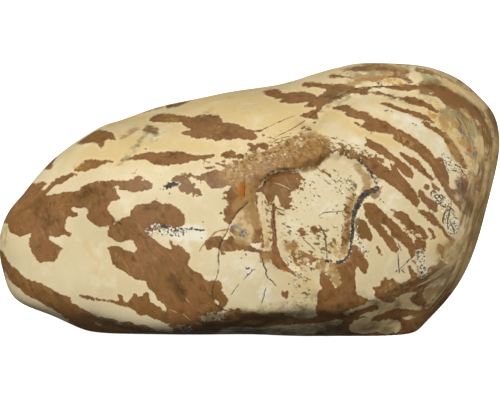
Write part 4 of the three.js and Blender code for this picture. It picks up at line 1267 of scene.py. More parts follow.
        Mark("end foot", [(452, 252), (444, 262), (432, 270), (420, 276)], 3, 0.5, 3),
        Mark("low rim", [(452, 288), (442, 299), (430, 310), (418, 320)], 7, 0.7, 4),
        Mark("plane edge", [(146, 112), (158, 109), (170, 106)], 1.2, 0.7, 1.5),
        Mark("shoulder blob", [(146.5, 129), (151, 129), (155.5, 131)], 2.6, 0.85, 2.2),
    ],
    Tone.PALE: [
        Mark("collar triangle", [(236, 222), (240, 214), (247, 214), (250, 226), (250, 240), (240, 234)],
            amount=0.62, fade=3),
        Mark("crown top", [(436, 72), (449, 77), (462, 84.5), (471, 90), (478, 97)], 1.5, 0.6, 1.5),
        Mark("crown gold", [(444, 82), (455, 88), (466, 94), (475, 101), (482, 107)], 3.2, 1.0, 2),
        Mark("band streak", [(461, 110), (465, 113.5), (469, 117)], 1.2, 0.9, 1.2),
        Mark("band streak", [(475, 120), (479, 125)], 1, 0.6, 1.2),
        Mark("outer streak", [(483, 113), (490, 126), (494, 137), (496.5, 148)], 1.5, 0.6, 1.6),
        Mark("end white", [(474, 134), (478, 140), (482, 149)], 4.5, 1.0, 2.5),
        Mark("end gold", [(470, 161), (474, 165), (478, 172)], 3, 0.6, 3),
        Mark("band edge", [(449, 132), (455.5, 142), (462, 149), (467.5, 160), (471, 168)], 1.6, 0.9, 1.4),
        Mark("end cream", [(458, 196), (463, 204), (468, 214)], 2, 0.7, 2),
        Mark("low line", [(430, 279), (440, 272), (449, 265), (458, 256), (464.5, 248.5)], 1.2, 0.9, 1.2),
        Mark("low tan", [(462, 238), (456, 248), (448, 256)], 5, 0.5, 4),
        Mark("rim gold", [(490, 165), (485, 195), (476, 225), (466, 248)], 3, 0.45, 3),
    ],
    Tone.STREAK: [
        Mark("rim", [(470, 86), (490, 110), (498, 140), (497, 165), (489, 200), (474, 248), (455, 290),
            (430, 322)], 24, 1.0, 6),
        Mark("top rim", [(390, 62), (430, 66), (470, 86)], 10, 0.6, 6),
        Mark("end", [(464, 118), (478, 140), (482, 165), (478, 190), (470, 220)], 16, 1.0, 6),
        Mark("lower right", [(446, 262), (444, 285), (430, 306)], 16, 0.6, 6),
    ],
}

# Stains of the back, the underside and the far ends; the largest darker blot makes the stone darker towards
# its bottom
BLOTS: dict[Tone, list[Blot]] = {
    Tone.GOLD: [Blot((40, 40, 80), 34, 0.8), Blot((-50, 46, 40), 26, 0.7), Blot((0, 10, 104), 30, 0.6)],
    Tone.PEARL: [Blot((-20, 48, 60), 24, 0.7), Blot((60, 44, 30), 18, 0.6), Blot((-85, 20, 40), 20, 0.6)],
    Tone.DARKER_AND_PAINTED_SHADE: [Blot((10, 45, 20), 16, 0.5), Blot((-60, 40, 66), 12, 0.4), Blot((70, 38, 60), 14, 0.4),
        Blot((0, 0, 0), 70, 0.5)],
    Tone.LIGHTER_AND_PAINTED_LIGHT: [Blot((-35, 46, 35), 16, 0.7), Blot((30, 46, 55), 18, 0.7), Blot((-80, 30, 50), 14, 0.6)],
    Tone.TAN: [Blot((98, 10, 60), 26, 0.95), Blot((84, 30, 84), 16, 0.7), Blot((84, 10, 20), 16, 0.8)],
    Tone.OCHRE: [Blot((52, 42, 74), 8, 0.8), Blot((-28, 44, 76), 7, 0.8), Blot((-72, 36, 28), 6, 0.7)],
    Tone.RUST: [Blot((18, 46, 42), 5, 0.8), Blot((-54, 44, 52), 4, 0.7)],
    Tone.HAZE: [Blot((0, 42, 84), 12, 0.8), Blot((76, 36, 46), 10, 0.8), Blot((-40, 44, 20), 9, 0.6)],
    Tone.SLATE: [Blot((24, 48, 34), 6, 0.8), Blot((-64, 42, 44), 5, 0.7)],
    Tone.FLECK: [Blot((26, 48, 32), 8, 1.0), Blot((-62, 42, 46), 7, 1.0), Blot((74, 38, 40), 9, 0.8),
        Blot((-10, 48, 70), 6, 0.8)],
    Tone.MOTTLE: [Blot((10, 46, 60), 14, 0.8), Blot((60, 42, 60), 14, 0.8), Blot((-70, 38, 30), 10, 0.7)],
    Tone.SPRAY: [Blot((14, 46, 52), 14, 0.8), Blot((-30, 46, 46), 12, 0.7), Blot((58, 42, 70), 12, 0.7)],
    Tone.STREAK: [Blot((100, 0, 60), 34, 1.0), Blot((84, 20, 20), 22, 0.8)],
    Tone.STRIPE: [Blot((96, 20, 70), 8, 0.7), Blot((92, 24, 44), 7, 0.6)],
    Tone.PALE: [Blot((96, 14, 56), 7, 0.7), Blot((88, 28, 62), 7, 0.6)],
}


@dataclass
class Markings:
    """The drawing, laid on the stone as numbers that its vertices carry."""

    sheet: Sheet = field(default_factory=Sheet)
    curve_steps: int = 6  # steps of a smooth outline between two of its points
    reach: float = 15.0  # how far from an edge the distance to it is kept, in steps
    soft_reach: float = 3.0  # how many fades or radii away a soft marking is still looked at
    speck_radius: float = 1.25
    crack_gate: float = 3.0  # how far from a crack the distance to it is kept, in millimetres
    crack_side: float = 6.0  # the same across the crack, in half widths of it
    crack_past: float = 2.0  # how much a spot's way past a crack's end adds to its distance
    crack_end: float = 0.45  # a crack's width at its ends, as a part of that in its middle
    rim_line: Spots = field(default_factory=lambda: [  # the right-hand outline, that the fine layers follow
        (330, 68), (380, 62), (440, 68), (470, 86), (490, 110), (498, 140), (497, 165), (489, 200),
        (474, 248), (455, 290), (430, 322)])
    rim_length: float = 150.0  # millimetres
    facing_low: float = 0.0  # the drawing fades from the stone as that turns away from the eye
    facing_high: float = 0.1
    rim_facing: float = 0.4  # where the stone turns away, the drawing's edge is drawn on over the rim
    rim_pull: float = 3.5  # by this many steps
    crust_shown: float = 0.5  # crust ends where less of the drawing is left

    def near(self, spots: np.ndarray, line: np.ndarray, margin: float) -> np.ndarray:
        """Find the spots within a margin of a line's box, as indices."""
        low, high = line.min(axis=0) - margin, line.max(axis=0) + margin
        return np.nonzero(((spots > low) & (spots < high)).all(axis=1))[0]

    def depth_in(self, mark: Mark, spots: np.ndarray, margin: float) -> tuple[np.ndarray, np.ndarray]:
        """Measure how deep spots lie in a marking.

        Args:
            mark: The marking.
            spots: Spots on the sheet.
            margin: How far around it is looked at.

        Returns:
            The indices of the spots near it, and their depths in steps, below zero outside.
        """
        closed = mark.width == 0
        line = smooth_line(mark.points, closed, self.curve_steps)
        chosen = self.near(spots, line, margin + mark.width)
        beside = nearest(spots[chosen], line, closed)
        if closed:
            return chosen, np.where(beside.inside, beside.distance, -beside.distance)
        return chosen, mark.width / 2 - beside.distance

    def edge_distance(self, marks: list[Mark], windows: list[Mark], spots: np.ndarray) -> np.ndarray:
        """Give how far spots lie inside the nearest of some markings, and outside all their windows.

        Args:
            marks: The markings.
            windows: Markings that are cut out of them.
            spots: Spots on the sheet.

        Returns:
            Millimetres, below zero outside.
        """
        best = np.full(len(spots), -self.reach)
        for mark in marks:
            chosen, depth = self.depth_in(mark, spots, self.reach)
            best[chosen] = np.maximum(best[chosen], depth)
        for window in windows:
            chosen, depth = self.depth_in(window, spots, self.reach)
            best[chosen] = np.minimum(best[chosen], -depth)
        return np.clip(best, -self.reach, self.reach) * self.sheet.step

    def stain(self, marks: list[Mark], spots: np.ndarray) -> np.ndarray:
        """Give how strongly some soft markings stain spots.

        Args:
            marks: The markings of one tone.
            spots: Spots on the sheet.

        Returns:
            Amounts from 0 to 1.
        """
        total = np.zeros(len(spots))
        for mark in marks:
            chosen, depth = self.depth_in(mark, spots, self.soft_reach * mark.fade)
            past = np.maximum(-depth, 0) / mark.fade
            total[chosen] = np.maximum(total[chosen], mark.amount * np.exp(-(past**2)))
        return total

    def blot(self, tone: Tone, points: np.ndarray) -> np.ndarray:
        """Give how strongly a tone stains the hidden sides.

        Args:
            tone: The tone.
            points: Points of the stone in millimetres, one a row.

        Returns:
            Amounts from 0 to 1.
        """
        total = np.zeros(len(points))
        for blot in BLOTS.get(tone, []):
            gap = np.linalg.norm(points - np.array(blot.place), axis=1) / blot.radius
            total = np.maximum(total, blot.amount * np.exp(-(gap**2)))
        return total

    def cracks(self, cracks: list[Crack], spots: np.ndarray) -> tuple[np.ndarray, np.ndarray, np.ndarray]:
        """Measure spots against cracks.

        Args:
            cracks: The cracks of one layer, which don't meet.
            spots: Spots on the sheet.

        Returns:
            The signed distance to the nearest crack in half widths of it, the plain distance in millimetres,
            and its tint.
        """
        side = np.full(len(spots), self.crack_side)
        far = np.full(len(spots), self.crack_gate)
        tint = np.zeros(len(spots))
        for crack in cracks:
            line = smooth_line(crack.points, False, self.curve_steps)
            chosen = self.near(spots, line, self.crack_gate / self.sheet.step)
            beside = nearest(spots[chosen], line, False)
            swell = np.sqrt(np.clip(4 * beside.along * (1 - beside.along), 0, 1))  # 0 at the ends, 1 between
            half = crack.width / 2 * (self.crack_end + (1 - self.crack_end) * swell)
            reach = (beside.distance + self.crack_past * beside.beyond) * self.sheet.step
            closer = reach < far[chosen]
            chosen = chosen[closer]
            far[chosen] = reach[closer]
            across = (beside.side * beside.distance / half)[closer]
            side[chosen] = np.clip(across, -self.crack_side, self.crack_side)
            tint[chosen] = crack.tint
        return side, far, tint

    def specks(self, spots: np.ndarray) -> np.ndarray:
        """Give how much of a speck lies on each spot.

        Args:
            spots: Spots on the sheet.

        Returns:
            Amounts from 0 to 1.
        """
        total = np.zeros(len(spots))
        for speck in np.array(SPECKS, float):
            chosen = self.near(spots, speck[None], self.soft_reach * self.speck_radius)
            gap = np.hypot(*(spots[chosen] - speck).T) / self.speck_radius
            total[chosen] = np.maximum(total[chosen], np.exp(-(gap**2)))
        return total

    def laid_out(self, mesh: bpy.types.Mesh) -> tuple[np.ndarray, np.ndarray, np.ndarray]:
        """Find where a mesh's vertices are, where they fall on the sheet, and how far the drawing holds.

        Args:
            mesh: The finished stone's mesh, in metres.

        Returns:
            Points in millimetres, spots on the sheet, and how much of the drawing is left, from 0 to 1.
        """
        points = vertex_places(mesh) / MM
        normals = np.empty(points.size)
        mesh.vertex_normals.foreach_get("vector", normals)
        sight = self.sheet.eye() - points
        facing = (normals.reshape(-1, 3) * sight).sum(axis=1) / np.linalg.norm(sight, axis=1)
        spots = self.sheet.steps(points)
        away = spots - np.array(self.sheet.middle_step)
        length = np.maximum(np.linalg.norm(away, axis=1), 1)
        pull = self.rim_pull * smooth_step(facing, self.rim_facing, 0) / length
        spots -= away * pull[:, None]
        return points, spots, smooth_step(facing, self.facing_low, self.facing_high)

    def lay_on(self, stone: bpy.types.Object) -> None:
        """Write the drawing into the stone's vertices.

        Args:
            stone: The finished stone, in metres.
        """
        mesh = stone.data
        points, spots, shown = self.laid_out(mesh)
        crust = self.edge_distance(CRUST, [], spots)
        rim = nearest(spots, smooth_line(self.rim_line, False, self.curve_steps), False)
        values = {
            "shown": shown,
            "brown": self.edge_distance(BROWN_PATCHES + BROWN_LINES, CREAM_WINDOWS, spots),
            "crust": np.where(shown > self.crust_shown, crust, -self.reach),
            "speck": self.specks(spots) * shown,
            "rim_across": rim.distance * self.sheet.step * MM,
            "rim_along": rim.along * self.rim_length * MM,
        }
        for layer, cracks in CRACK_LAYERS.items():
            side, far, tint = self.cracks(cracks, spots)
            values |= {f"{layer}_side": side, f"{layer}_far": far, f"{layer}_tint": tint}
        for tone, marks in STAINS.items():
            values[tone.value] = self.stain(marks, spots) * shown + self.blot(tone, points) * (1 - shown)
        for name, numbers in values.items():
            attribute = mesh.attributes.new(name, "FLOAT", "POINT")
            attribute.data.foreach_set("value", numbers.astype(np.float32))
        LOG.info("%d attributes on %d vertices", len(values), len(mesh.vertices))


# The finish


@dataclass(frozen=True)
class Change:
    """How one colour gives way to another along a measure.

    Attributes:
        low: The measure where the other colour begins to show; it may be the larger of the two.
        high: The measure from which the other colour shows whole.
        strength: How much of the first colour it then covers: a part, or a socket that gives one.
    """

    low: float
    high: float
    strength: float | Socket = 1.0


@dataclass(frozen=True)
class Veil:
    """A thin coat of colour that lies in clouds.

    Attributes:
        colour: Its colour.
        size: The size of the clouds, in millimetres.
        low: The height in the clouds, about 0.25 to 0.75, at which the coat begins to show.
        high: The height from which it shows whole.
        strength: How much of it then covers what is under it.
        tone: The stain that it keeps to, or none for all over.
        turn: How far the clouds are turned down from level, in degrees.
        narrow: Their width, as a part of their length.
    """

    colour: str
    size: float
    low: float
    high: float
    strength: float = 1.0
    tone: Tone | None = None
    turn: float = 0.0
    narrow: float = 1.0


@dataclass(frozen=True)
class PictureJasper:
    """Picture jasper, water-worn and hand-polished.

    Jasper is quartz coloured right through by clay and iron. Its layers give the eye flat cream and brown
    patches with crisp, slightly frayed edges and a pale line beside them, manganese gives black dendrites,
    and the hand polish gives a satin skin with fine scratches and no mirror. Sizes are in millimetres.
    """

    cream: str = "E3D3AA"
    halo: str = "EBD2A8"
    brown: str = "8F643B"
    brown_dark: str = "6E4A24"
    iron: str = "5A3B1E"
    amber: str = "9A6A2A"
    manganese: str = "35322A"
    cloud_detail: float = 4.0
    cloud_roughness: float = 0.6

    # the patches, by the distance into the brown
    fray_size: float = 1.5
    edge_fray: float = 2.4  # how far the patches' edges wander
    mottle_swing: float = 11.0  # how much farther where the two colours break each other up
    halo_line: Change = Change(-1.5, -0.3, 0.4)  # the pale line beside the brown
    dark_line: Change = Change(0.8, 0.1, 0.4)  # the brown's own darker edge
    patch_edge: Change = Change(-0.22, 0.26)

    # the layers of the sides that the drawing doesn't reach
    layer_size: float = 15.0
    layer_detail: float = 1.6
    layer_roughness: float = 0.5
    layer_drawn: float = 2.4  # how far they are drawn out into lenses
    layer_tilt: float = 18.0  # degrees, as on the show face
    layer_heights: tuple[float, float] = (0.42, 0.62)  # from cream to brown, as heights in their clouds
    layer_depths: tuple[float, float] = (-5.5, 4.5)  # and as distances into the brown
    bend_size: float = 38.0  # of the slow bends that they follow
    bend_detail: float = 2.0
    bend_pull: float = 30.0

    # stains, painted light and shade among them, which keep to the amounts that the stone carries
    stain_raise: float = 0.3  # so that the edges of a stain keep only the tops of the clouds
    stain_full: float = 0.35  # the amount from which a stain has its whole strength

    # manganese: a crust, flecks and specks
    crust_fray_size: float = 0.9
    crust_fray: float = 2.6
    crust_edge: Change = Change(-0.15, 0.3)
    speck_size: float = 0.85
    speck_edge: Change = Change(0.22, 0.34, 0.85)

    # cracks, in half widths of the crack
    crack_fray_size: float = 0.9
    crack_fray: float = 3.4
    crack_line: tuple[float, float] = (1.6, 0.5)
    crack_gate: tuple[float, float] = (1.15, 0.85)  # in millimetres: no crack shows farther from its line
    crack_clouds: float = 2.2  # they thin a crack here and there
    crack_heights: tuple[float, float] = (0.36, 0.52)
    crack_thin: float = 0.3
    crack_cover: Change = Change(0.0, 1.0, 0.88)
    black_tint: Change = Change(0.0, 1.0)
    amber_tint: Change = Change(-0.05, -0.35)
    cream_tint: Change = Change(-0.5, -0.8)

    # the polish
    quartz_ior: float = 1.54
    specular: float = 0.17
    roughness: float = 0.42
    smoother: float = 0.05  # how far the roughness falls and rises in clouds
    rougher: float = 0.07
    polish_clouds: float = 6.0
    polish_heights: tuple[float, float] = (0.3, 0.7)
    groove_dull: float = 0.25  # how much rougher crust and cracks are
    groove_depth: float = 1.6  # how deep they are, against the height of the fine pitting
    pit_size: float = 0.7
    scratch_size: float = 0.3
    scratch_turn: float = 50.0  # degrees
    scratch_narrow: float = 0.05
    scratch_height: float = 0.35  # against the height of the fine pitting
    bump_strength: float = 0.22
    bump_height: float = 0.12

    cream_veils: tuple[Veil, ...] = (
        Veil("DDC99B", 34, 0.35, 0.65), Veil("EBDDBA", 9, 0.5, 0.75), Veil("D3BC8A", 0.9, 0.54, 0.74, 0.4),
        Veil("DCBF80", 14, 0.22, 0.55, 0.85, Tone.GOLD), Veil("EFE8D2", 7, 0.33, 0.6, 0.85, Tone.PEARL))
    brown_veils: tuple[Veil, ...] = (
        Veil("7E5C2E", 12, 0.42, 0.62, 0.75), Veil("A2744A", 6, 0.5, 0.7, 0.55),
        Veil("664420", 3.5, 0.5, 0.72, 0.75), Veil("B08558", 1.5, 0.52, 0.72, 0.52, turn=58, narrow=0.16),
        Veil("62401E", 1.1, 0.52, 0.72, 0.42, turn=50, narrow=0.3),
        # the veil of the lighter tone, which is also painted light by the foot
        Veil("B8905E", 1.4, 0.42, 0.62, 0.8, Tone.LIGHTER_AND_PAINTED_LIGHT))
    over_veils: tuple[Veil, ...] = (
        Veil("AC8853", 4, 0.22, 0.46, 0.88, Tone.TAN), Veil("86603A", 2.4, 0.2, 0.42, 0.9, Tone.STRIPE),
        Veil("D6BA87", 2.4, 0.2, 0.42, 0.88, Tone.PALE), Veil("BC8C3C", 1.6, 0.3, 0.56, 0.85, Tone.OCHRE),
        Veil("B4681F", 1.6, 0.3, 0.56, 0.88, Tone.RUST), Veil("9A9168", 3, 0.3, 0.56, 0.8, Tone.HAZE),
        Veil("74756E", 2.6, 0.34, 0.6, 0.8, Tone.SLATE), Veil("A27A45", 3, 0.24, 0.5, 0.88, Tone.GRAIN),
        Veil("C9A468", 0.9, 0.5, 0.6, 0.65, Tone.GRAIN, 30, 0.5),
        Veil("6A4724", 1.1, 0.5, 0.6, 0.68, Tone.GRAIN, 20, 0.6),
        Veil("745228", 1.15, 0.5, 0.56, 0.88, Tone.SPRAY, 30, 0.45),
        # the veil of the darker tone, which is also painted shade along the foot and under the brow
        Veil("4A361C", 7, 0.22, 0.6, 0.7, Tone.DARKER_AND_PAINTED_SHADE))
    rim_veils: tuple[Veil, ...] = (
        Veil("7C5C34", 2.6, 0.46, 0.6, 0.75, Tone.STREAK, narrow=0.08),
        Veil("C9AE7A", 1.7, 0.5, 0.62, 0.75, Tone.STREAK, narrow=0.07),
        Veil("5E4526", 1.0, 0.54, 0.64, 0.7, Tone.STREAK, narrow=0.06))
    fleck_veils: tuple[Veil, ...] = (
        Veil("F0E8D4", 1.05, 0.51, 0.57, 0.85, Tone.FLECK),
        Veil("3A362C", 0.85, 0.525, 0.565, 0.9, Tone.FLECK))
    crust_veils: tuple[Veil, ...] = (
        Veil("46544F", 1.3, 0.5, 0.62), Veil("5E4A32", 1.8, 0.46, 0.6, 0.9),
        Veil("8C8C80", 0.8, 0.6, 0.68, 0.8))

    def clouds(self, tree: Tree, place: Socket, size: float, turn: float = 0.0,
               narrow: float = 1.0) -> Socket:
        """Make clouds.

        Args:
            tree: The node tree.
            place: The place in the stone.
            size: Their size, in millimetres.
            turn: How far they are turned down from level, in degrees.
            narrow: Their width, as a part of their length.

        Returns:
            Their height, from about 0.25 to 0.75.
        """
        drawn = add_node(tree, "Mapping", {
            "Vector": place, "Rotation": (0, math.radians(turn), 0), "Scale": (1 / narrow, 1.0, 1.0)},
            vector_type="TEXTURE")
        return add_node(tree, "TexNoise", {
            "Vector": drawn, "Scale": 1 / (size * MM), "Detail": self.cloud_detail,
            "Roughness": self.cloud_roughness})

    def lay(self, tree: Tree, under: Colour, over: Colour, by: Socket, change: Change) -> Socket:
        """Lay one colour over another.

        Args:
            tree: The node tree.
            under: The lower colour.
            over: The upper colour.
            by: The measure that the change goes by.
            change: How the upper colour comes in.

        Returns:
            The colour of the two.
        """
        part = add_node(tree, "MapRange", {
            "Value": by, "From Min": change.low, "From Max": change.high, "To Max": change.strength},
            interpolation_type="SMOOTHSTEP")
        return add_node(tree, "Mix", {"Factor_Float": part, "A_Color": under, "B_Color": over}, gives=2,
                        data_type="RGBA")

    def veil(self, tree: Tree, place: Socket, under: Colour, veils: tuple[Veil, ...]) -> Colour:
        """Lay thin coats over a colour, one after another.

        Args:
            tree: The node tree.
            place: The place in the stone.
            under: The colour.
            veils: The coats.

        Returns:
            The colour with its coats.
        """
        for veil in veils:
            height = self.clouds(tree, place, veil.size, veil.turn, veil.narrow)
            change = Change(veil.low, veil.high, veil.strength)
            if veil.tone:
                amount = add_node(tree, "Attribute", gives=2, attribute_name=veil.tone.value)
                height = add_node(tree, "Math", {
                    "Value": amount, "Value_001": self.stain_raise, "Value_002": height},
                    operation="MULTIPLY_ADD")
                strength = add_node(tree, "MapRange", {
                    "Value": amount, "From Max": self.stain_full, "To Max": veil.strength})
                change = Change(veil.low + self.stain_raise, veil.high + self.stain_raise, strength)
            under = self.lay(tree, under, paint(veil.colour), height, change)
        return under

    def frayed(self, tree: Tree, place: Socket, size: float, swing: Socket | float,
               distance: Socket) -> Socket:
        """Make a distance wander, so that the edge that it gives is frayed.

        Args:
            tree: The node tree.
            place: The place in the stone.
            size: The size of the frays, in millimetres.
            swing: How far they go.
            distance: The smooth distance.

        Returns:
            The frayed distance.
        """
        centred = add_node(tree, "Math", {"Value": self.clouds(tree, place, size), "Value_001": 0.5},
                           operation="SUBTRACT")
        return add_node(tree, "Math", {"Value": centred, "Value_001": swing, "Value_002": distance},
                        operation="MULTIPLY_ADD")

    def layers(self, tree: Tree, place: Socket) -> Socket:
        """Run the stone's layers on through its hidden sides, as long lenses, tilted and bent.

        Args:
            tree: The node tree.
            place: The place in the stone.

        Returns:
            The distance into the brown, in millimetres, below zero in the cream.
        """
        warp = add_node(tree, "TexNoise", {
            "Vector": place, "Scale": 1 / (self.bend_size * MM), "Detail": self.bend_detail}, gives=1)
        centred = add_node(tree, "VectorMath", {"Vector": warp, "Vector_001": (0.5, 0.5, 0.5)},
                           operation="SUBTRACT")
        pulled = add_node(tree, "VectorMath", {"Vector": centred, "Scale": self.bend_pull * MM},
                          operation="SCALE")
        bent = add_node(tree, "VectorMath", {"Vector": place, "Vector_001": pulled}, operation="ADD")
        tilted = add_node(tree, "Mapping", {
            "Vector": bent, "Rotation": (0, math.radians(self.layer_tilt), 0),
            "Scale": (self.layer_drawn, 1.0, 1.0)}, vector_type="TEXTURE")
        lenses = add_node(tree, "TexNoise", {
            "Vector": tilted, "Scale": 1 / (self.layer_size * MM), "Detail": self.layer_detail,
            "Roughness": self.layer_roughness})
        return add_node(tree, "MapRange", {
            "Value": lenses, "From Min": self.layer_heights[0], "From Max": self.layer_heights[1],
            "To Min": self.layer_depths[0], "To Max": self.layer_depths[1]}, clamp=False)

    def patches(self, tree: Tree, place: Socket, shown: Socket) -> Socket:
        """Give the stone its cream and brown, from the drawing and elsewhere from its layers.

        Args:
            tree: The node tree.
            place: The place in the stone.
            shown: Where the drawing holds.

        Returns:
            The colour.
        """
        drawn, mottle = (add_node(tree, "Attribute", gives=2, attribute_name=name)
                         for name in ("brown", Tone.MOTTLE.value))
        joined = add_node(tree, "Mix", {
            "Factor_Float": shown, "A_Float": self.layers(tree, place), "B_Float": drawn})
        swing = add_node(tree, "Math", {
            "Value": mottle, "Value_001": self.mottle_swing, "Value_002": self.edge_fray},
            operation="MULTIPLY_ADD")
        depth = self.frayed(tree, place, self.fray_size, swing, joined)
        cream = self.veil(tree, place, paint(self.cream), self.cream_veils)
        cream = self.lay(tree, cream, paint(self.halo), depth, self.halo_line)
        brown = self.veil(tree, place, paint(self.brown), self.brown_veils)
        brown = self.lay(tree, brown, paint(self.brown_dark), depth, self.dark_line)
        return self.lay(tree, cream, brown, depth, self.patch_edge)

    def encrusted(self, tree: Tree, place: Socket, colour: Socket, crust: Socket) -> Socket:
        """Lay manganese over a colour: flecks, crust and specks.

        Args:
            tree: The node tree.
            place: The place in the stone.
            colour: The colour.
            crust: The frayed distance into the crust, in millimetres.

        Returns:
            The colour with the manganese.
        """
        colour = self.veil(tree, place, colour, self.fleck_veils)
        black = self.veil(tree, place, paint(self.manganese), self.crust_veils)
        colour = self.lay(tree, colour, black, crust, self.crust_edge)
        speck = add_node(tree, "Attribute", gives=2, attribute_name="speck")
        ragged = add_node(tree, "Math", {
            "Value": self.clouds(tree, place, self.speck_size), "Value_001": speck}, operation="MULTIPLY")
        return self.lay(tree, colour, paint(self.manganese), ragged, self.speck_edge)

    def crack(self, tree: Tree, place: Socket, shown: Socket, layer: str) -> tuple[Socket, Socket]:
        """Draw one layer of cracks.

        Args:
            tree: The node tree.
            place: The place in the stone.
            shown: Where the drawing holds.
            layer: The start of its attributes' names.

        Returns:
            How much of a crack there is, and its colour.
        """
        side, far, tint = (add_node(tree, "Attribute", gives=2, attribute_name=layer + part)
                           for part in ("_side", "_far", "_tint"))
        wandering = self.frayed(tree, place, self.crack_fray_size, self.crack_fray, side)
        aside = add_node(tree, "Math", {"Value": wandering}, operation="ABSOLUTE")
        line = add_node(tree, "MapRange", {
            "Value": aside, "From Min": self.crack_line[0], "From Max": self.crack_line[1]},
            interpolation_type="SMOOTHSTEP")
        thinned = add_node(tree, "MapRange", {
            "Value": self.clouds(tree, place, self.crack_clouds), "From Min": self.crack_heights[0],
            "From Max": self.crack_heights[1], "To Min": self.crack_thin})
        near = add_node(tree, "MapRange", {
            "Value": far, "From Min": self.crack_gate[0], "From Max": self.crack_gate[1]})
        for part in (thinned, near, shown):
            line = add_node(tree, "Math", {"Value": line, "Value_001": part}, operation="MULTIPLY")
        colour = self.lay(tree, paint(self.iron), paint(self.manganese), tint, self.black_tint)
        colour = self.lay(tree, colour, paint(self.amber), tint, self.amber_tint)
        return line, self.lay(tree, colour, paint(self.cream), tint, self.cream_tint)

    def polish(self, tree: Tree, place: Socket, colour: Socket, groove: Socket) -> Socket:
        """Polish the stone: satin, duller and deeper in crust and cracks, with pits and fine scratches.

        Args:
            tree: The node tree.
            place: The place in the stone.
            colour: Its finished colour.
            groove: How much of a crust or a crack there is.

        Returns:
            The finished surface.
        """
        rough = add_node(tree, "MapRange", {
            "Value": self.clouds(tree, place, self.polish_clouds), "From Min": self.polish_heights[0],
            "From Max": self.polish_heights[1], "To Min": self.roughness - self.smoother,
            "To Max": self.roughness + self.rougher})
        rough = add_node(tree, "Math", {"Value": groove, "Value_001": self.groove_dull, "Value_002": rough},
                         operation="MULTIPLY_ADD")
        scratches = self.clouds(tree, place, self.scratch_size, self.scratch_turn, self.scratch_narrow)
        height = add_node(tree, "Math", {
            "Value": scratches, "Value_001": self.scratch_height,
            "Value_002": self.clouds(tree, place, self.pit_size)}, operation="MULTIPLY_ADD")
        height = add_node(tree, "Math", {
            "Value": groove, "Value_001": -self.groove_depth, "Value_002": height},
            operation="MULTIPLY_ADD")
        bump = add_node(tree, "Bump", {
            "Height": height, "Strength": self.bump_strength, "Distance": self.bump_height * MM})
        return add_node(tree, "BsdfPrincipled", {
            "Base Color": colour, "Roughness": rough, "IOR": self.quartz_ior,
            "Specular IOR Level": self.specular, "Normal": bump})

    def dress(self, stone: bpy.types.Object) -> None:
        """Give the stone its finish.

        Args:
            stone: The stone, with the drawing's numbers in its vertices.
        """
        material = bpy.data.materials.new("polished_picture_jasper")
        material.use_nodes = True
        tree = material.node_tree
        tree.nodes.clear()
        place = add_node(tree, "TexCoord", gives=3)
        shown, drawn_crust, across, along = (
            add_node(tree, "Attribute", gives=2, attribute_name=name)
            for name in ("shown", "crust", "rim_across", "rim_along"))
        rim_place = add_node(tree, "CombineXYZ", {"X": along, "Y": across})
        colour = self.patches(tree, place, shown)
        colour = self.veil(tree, place, colour, self.over_veils)
        colour = self.veil(tree, rim_place, colour, self.rim_veils)
        crust = self.frayed(tree, place, self.crust_fray_size, self.crust_fray, drawn_crust)
        colour = self.encrusted(tree, place, colour, crust)
        groove = add_node(tree, "MapRange", {
            "Value": crust, "From Min": self.crust_edge.low, "From Max": self.crust_edge.high})
        for layer in CRACK_LAYERS:
            line, tinted = self.crack(tree, place, shown, layer)
            colour = self.lay(tree, colour, tinted, line, self.crack_cover)
            groove = add_node(tree, "Math", {"Value": groove, "Value_001": line}, operation="MAXIMUM")
        surface = self.polish(tree, place, colour, groove)
        add_node(tree, "OutputMaterial", {"Surface": surface}, gives=None)
        stone.data.materials.clear()
        stone.data.materials.append(material)
        LOG.info("%s: %d nodes", material.name, len(tree.nodes))


# The studio


@dataclass(frozen=True)
class Softbox:
    """A soft lamp.

    Attributes:
        name: Its name.
        place: Where it hangs, in metres.
        width: Its width, in metres.
        power: Its power, in watts.
        glints: Whether it shows as a glint on the polish.
    """

    name: str
    place: tuple[float, float, float]
    width: float
    power: float
    glints: bool = True


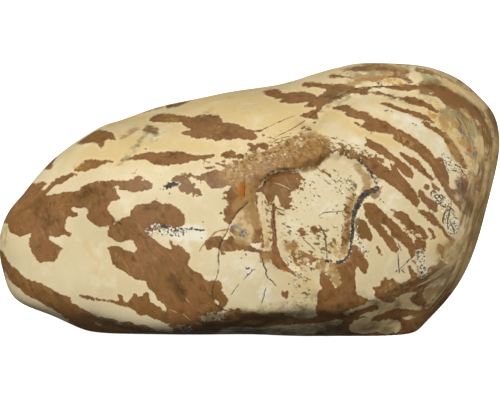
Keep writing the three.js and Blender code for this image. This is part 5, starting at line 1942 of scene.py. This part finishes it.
@dataclass
class Studio:
    """The pale floor, the soft lamps and the camera."""

    sheet: Sheet = field(default_factory=Sheet)
    floor_width: float = 24.0  # metres
    floor_colour: str = "F7F7F5"
    floor_glow: float = 1.03  # the paper is lit from below as well, so that it stays white far away
    floor_roughness: float = 0.9
    floor_specular: float = 0.1
    sky: float = 0.05
    lens: float = 144.0
    sensor: float = 36.0
    lamps: tuple[Softbox, ...] = (
        Softbox("key_lamp", (-0.5, -1.55, 0.86), 0.8, 28.8),
        Softbox("right_lamp", (1.45, -0.65, 0.05), 0.8, 13),
        Softbox("left_lamp", (-1.55, -0.5, 0.0), 0.6, 7, False),
        Softbox("top_lamp", (-0.2, 0.2, 1.6), 1.0, 4.5),
        Softbox("back_left_lamp", (-1.0, 1.4, 0.6), 0.8, 11, False),
        Softbox("back_right_lamp", (1.2, 1.2, 0.6), 0.8, 10, False),
    )

    def lay_floor(self) -> None:
        """Lay a floor of matt white paper."""
        bpy.ops.object.select_all(action="DESELECT")
        bpy.ops.mesh.primitive_plane_add(size=self.floor_width, location=(0, 0, 0))
        floor = bpy.context.object
        floor.name = "studio_floor"
        floor.visible_diffuse = floor.visible_glossy = False  # the underside of the stone stays in shade
        paper = bpy.data.materials.new("matt_white_paper")
        paper.use_nodes = True
        surface = paper.node_tree.nodes["Principled BSDF"].inputs
        surface["Base Color"].default_value = paint(self.floor_colour)
        surface["Roughness"].default_value = self.floor_roughness
        surface["Specular IOR Level"].default_value = self.floor_specular
        surface["Emission Color"].default_value = paint(self.floor_colour)
        surface["Emission Strength"].default_value = self.floor_glow
        floor.data.materials.append(paper)

    def hang_lamps(self) -> None:
        """Hang the lamps, each turned to the middle of the stone, in a faint even light."""
        target = Vector(self.sheet.middle) * MM
        for lamp in self.lamps:
            light = bpy.data.lights.new(lamp.name, "AREA")
            light.size = lamp.width
            light.energy = lamp.power
            holder = bpy.data.objects.new(lamp.name, light)
            bpy.context.collection.objects.link(holder)
            holder.location = lamp.place
            holder.visible_glossy = lamp.glints
            holder.rotation_euler = (target - Vector(lamp.place)).to_track_quat("-Z", "Y").to_euler()
        world = bpy.data.worlds.new("studio_air")
        world.use_nodes = True
        air = world.node_tree.nodes["Background"].inputs
        air["Color"].default_value = (1, 1, 1, 1)
        air["Strength"].default_value = self.sky
        bpy.context.scene.world = world
        bpy.context.scene.view_settings.view_transform = "Standard"

    def stand_camera(self) -> None:
        """Stand the camera where the eye of the drawing is."""
        camera_data = bpy.data.cameras.new("studio_camera")
        camera_data.lens = self.lens
        camera_data.sensor_width = self.sensor
        camera = bpy.data.objects.new("studio_camera", camera_data)
        bpy.context.collection.objects.link(camera)
        camera.location = Vector(self.sheet.eye()) * MM
        camera.rotation_euler = (math.pi / 2 - self.sheet.eye_tilt, 0, 0)
        bpy.context.scene.camera = camera

    def build(self) -> None:
        """Set the studio up around the stone."""
        self.lay_floor()
        self.hang_lamps()
        self.stand_camera()
        LOG.info("studio: floor, %d lamps and camera", len(self.lamps))


def main() -> None:
    """Build the boulder and the studio."""
    logging.basicConfig(level=logging.INFO, format="%(name)s: %(message)s")
    sheet = Sheet()
    stone = Boulder(sheet).build()
    LOG.info("%s: %d faces", stone.name, len(stone.data.polygons))
    Markings(sheet).lay_on(stone)
    PictureJasper().dress(stone)
    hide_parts("stone")
    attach(stone, "root")
    Studio(sheet).build()


if __name__ == "__main__":
    main()
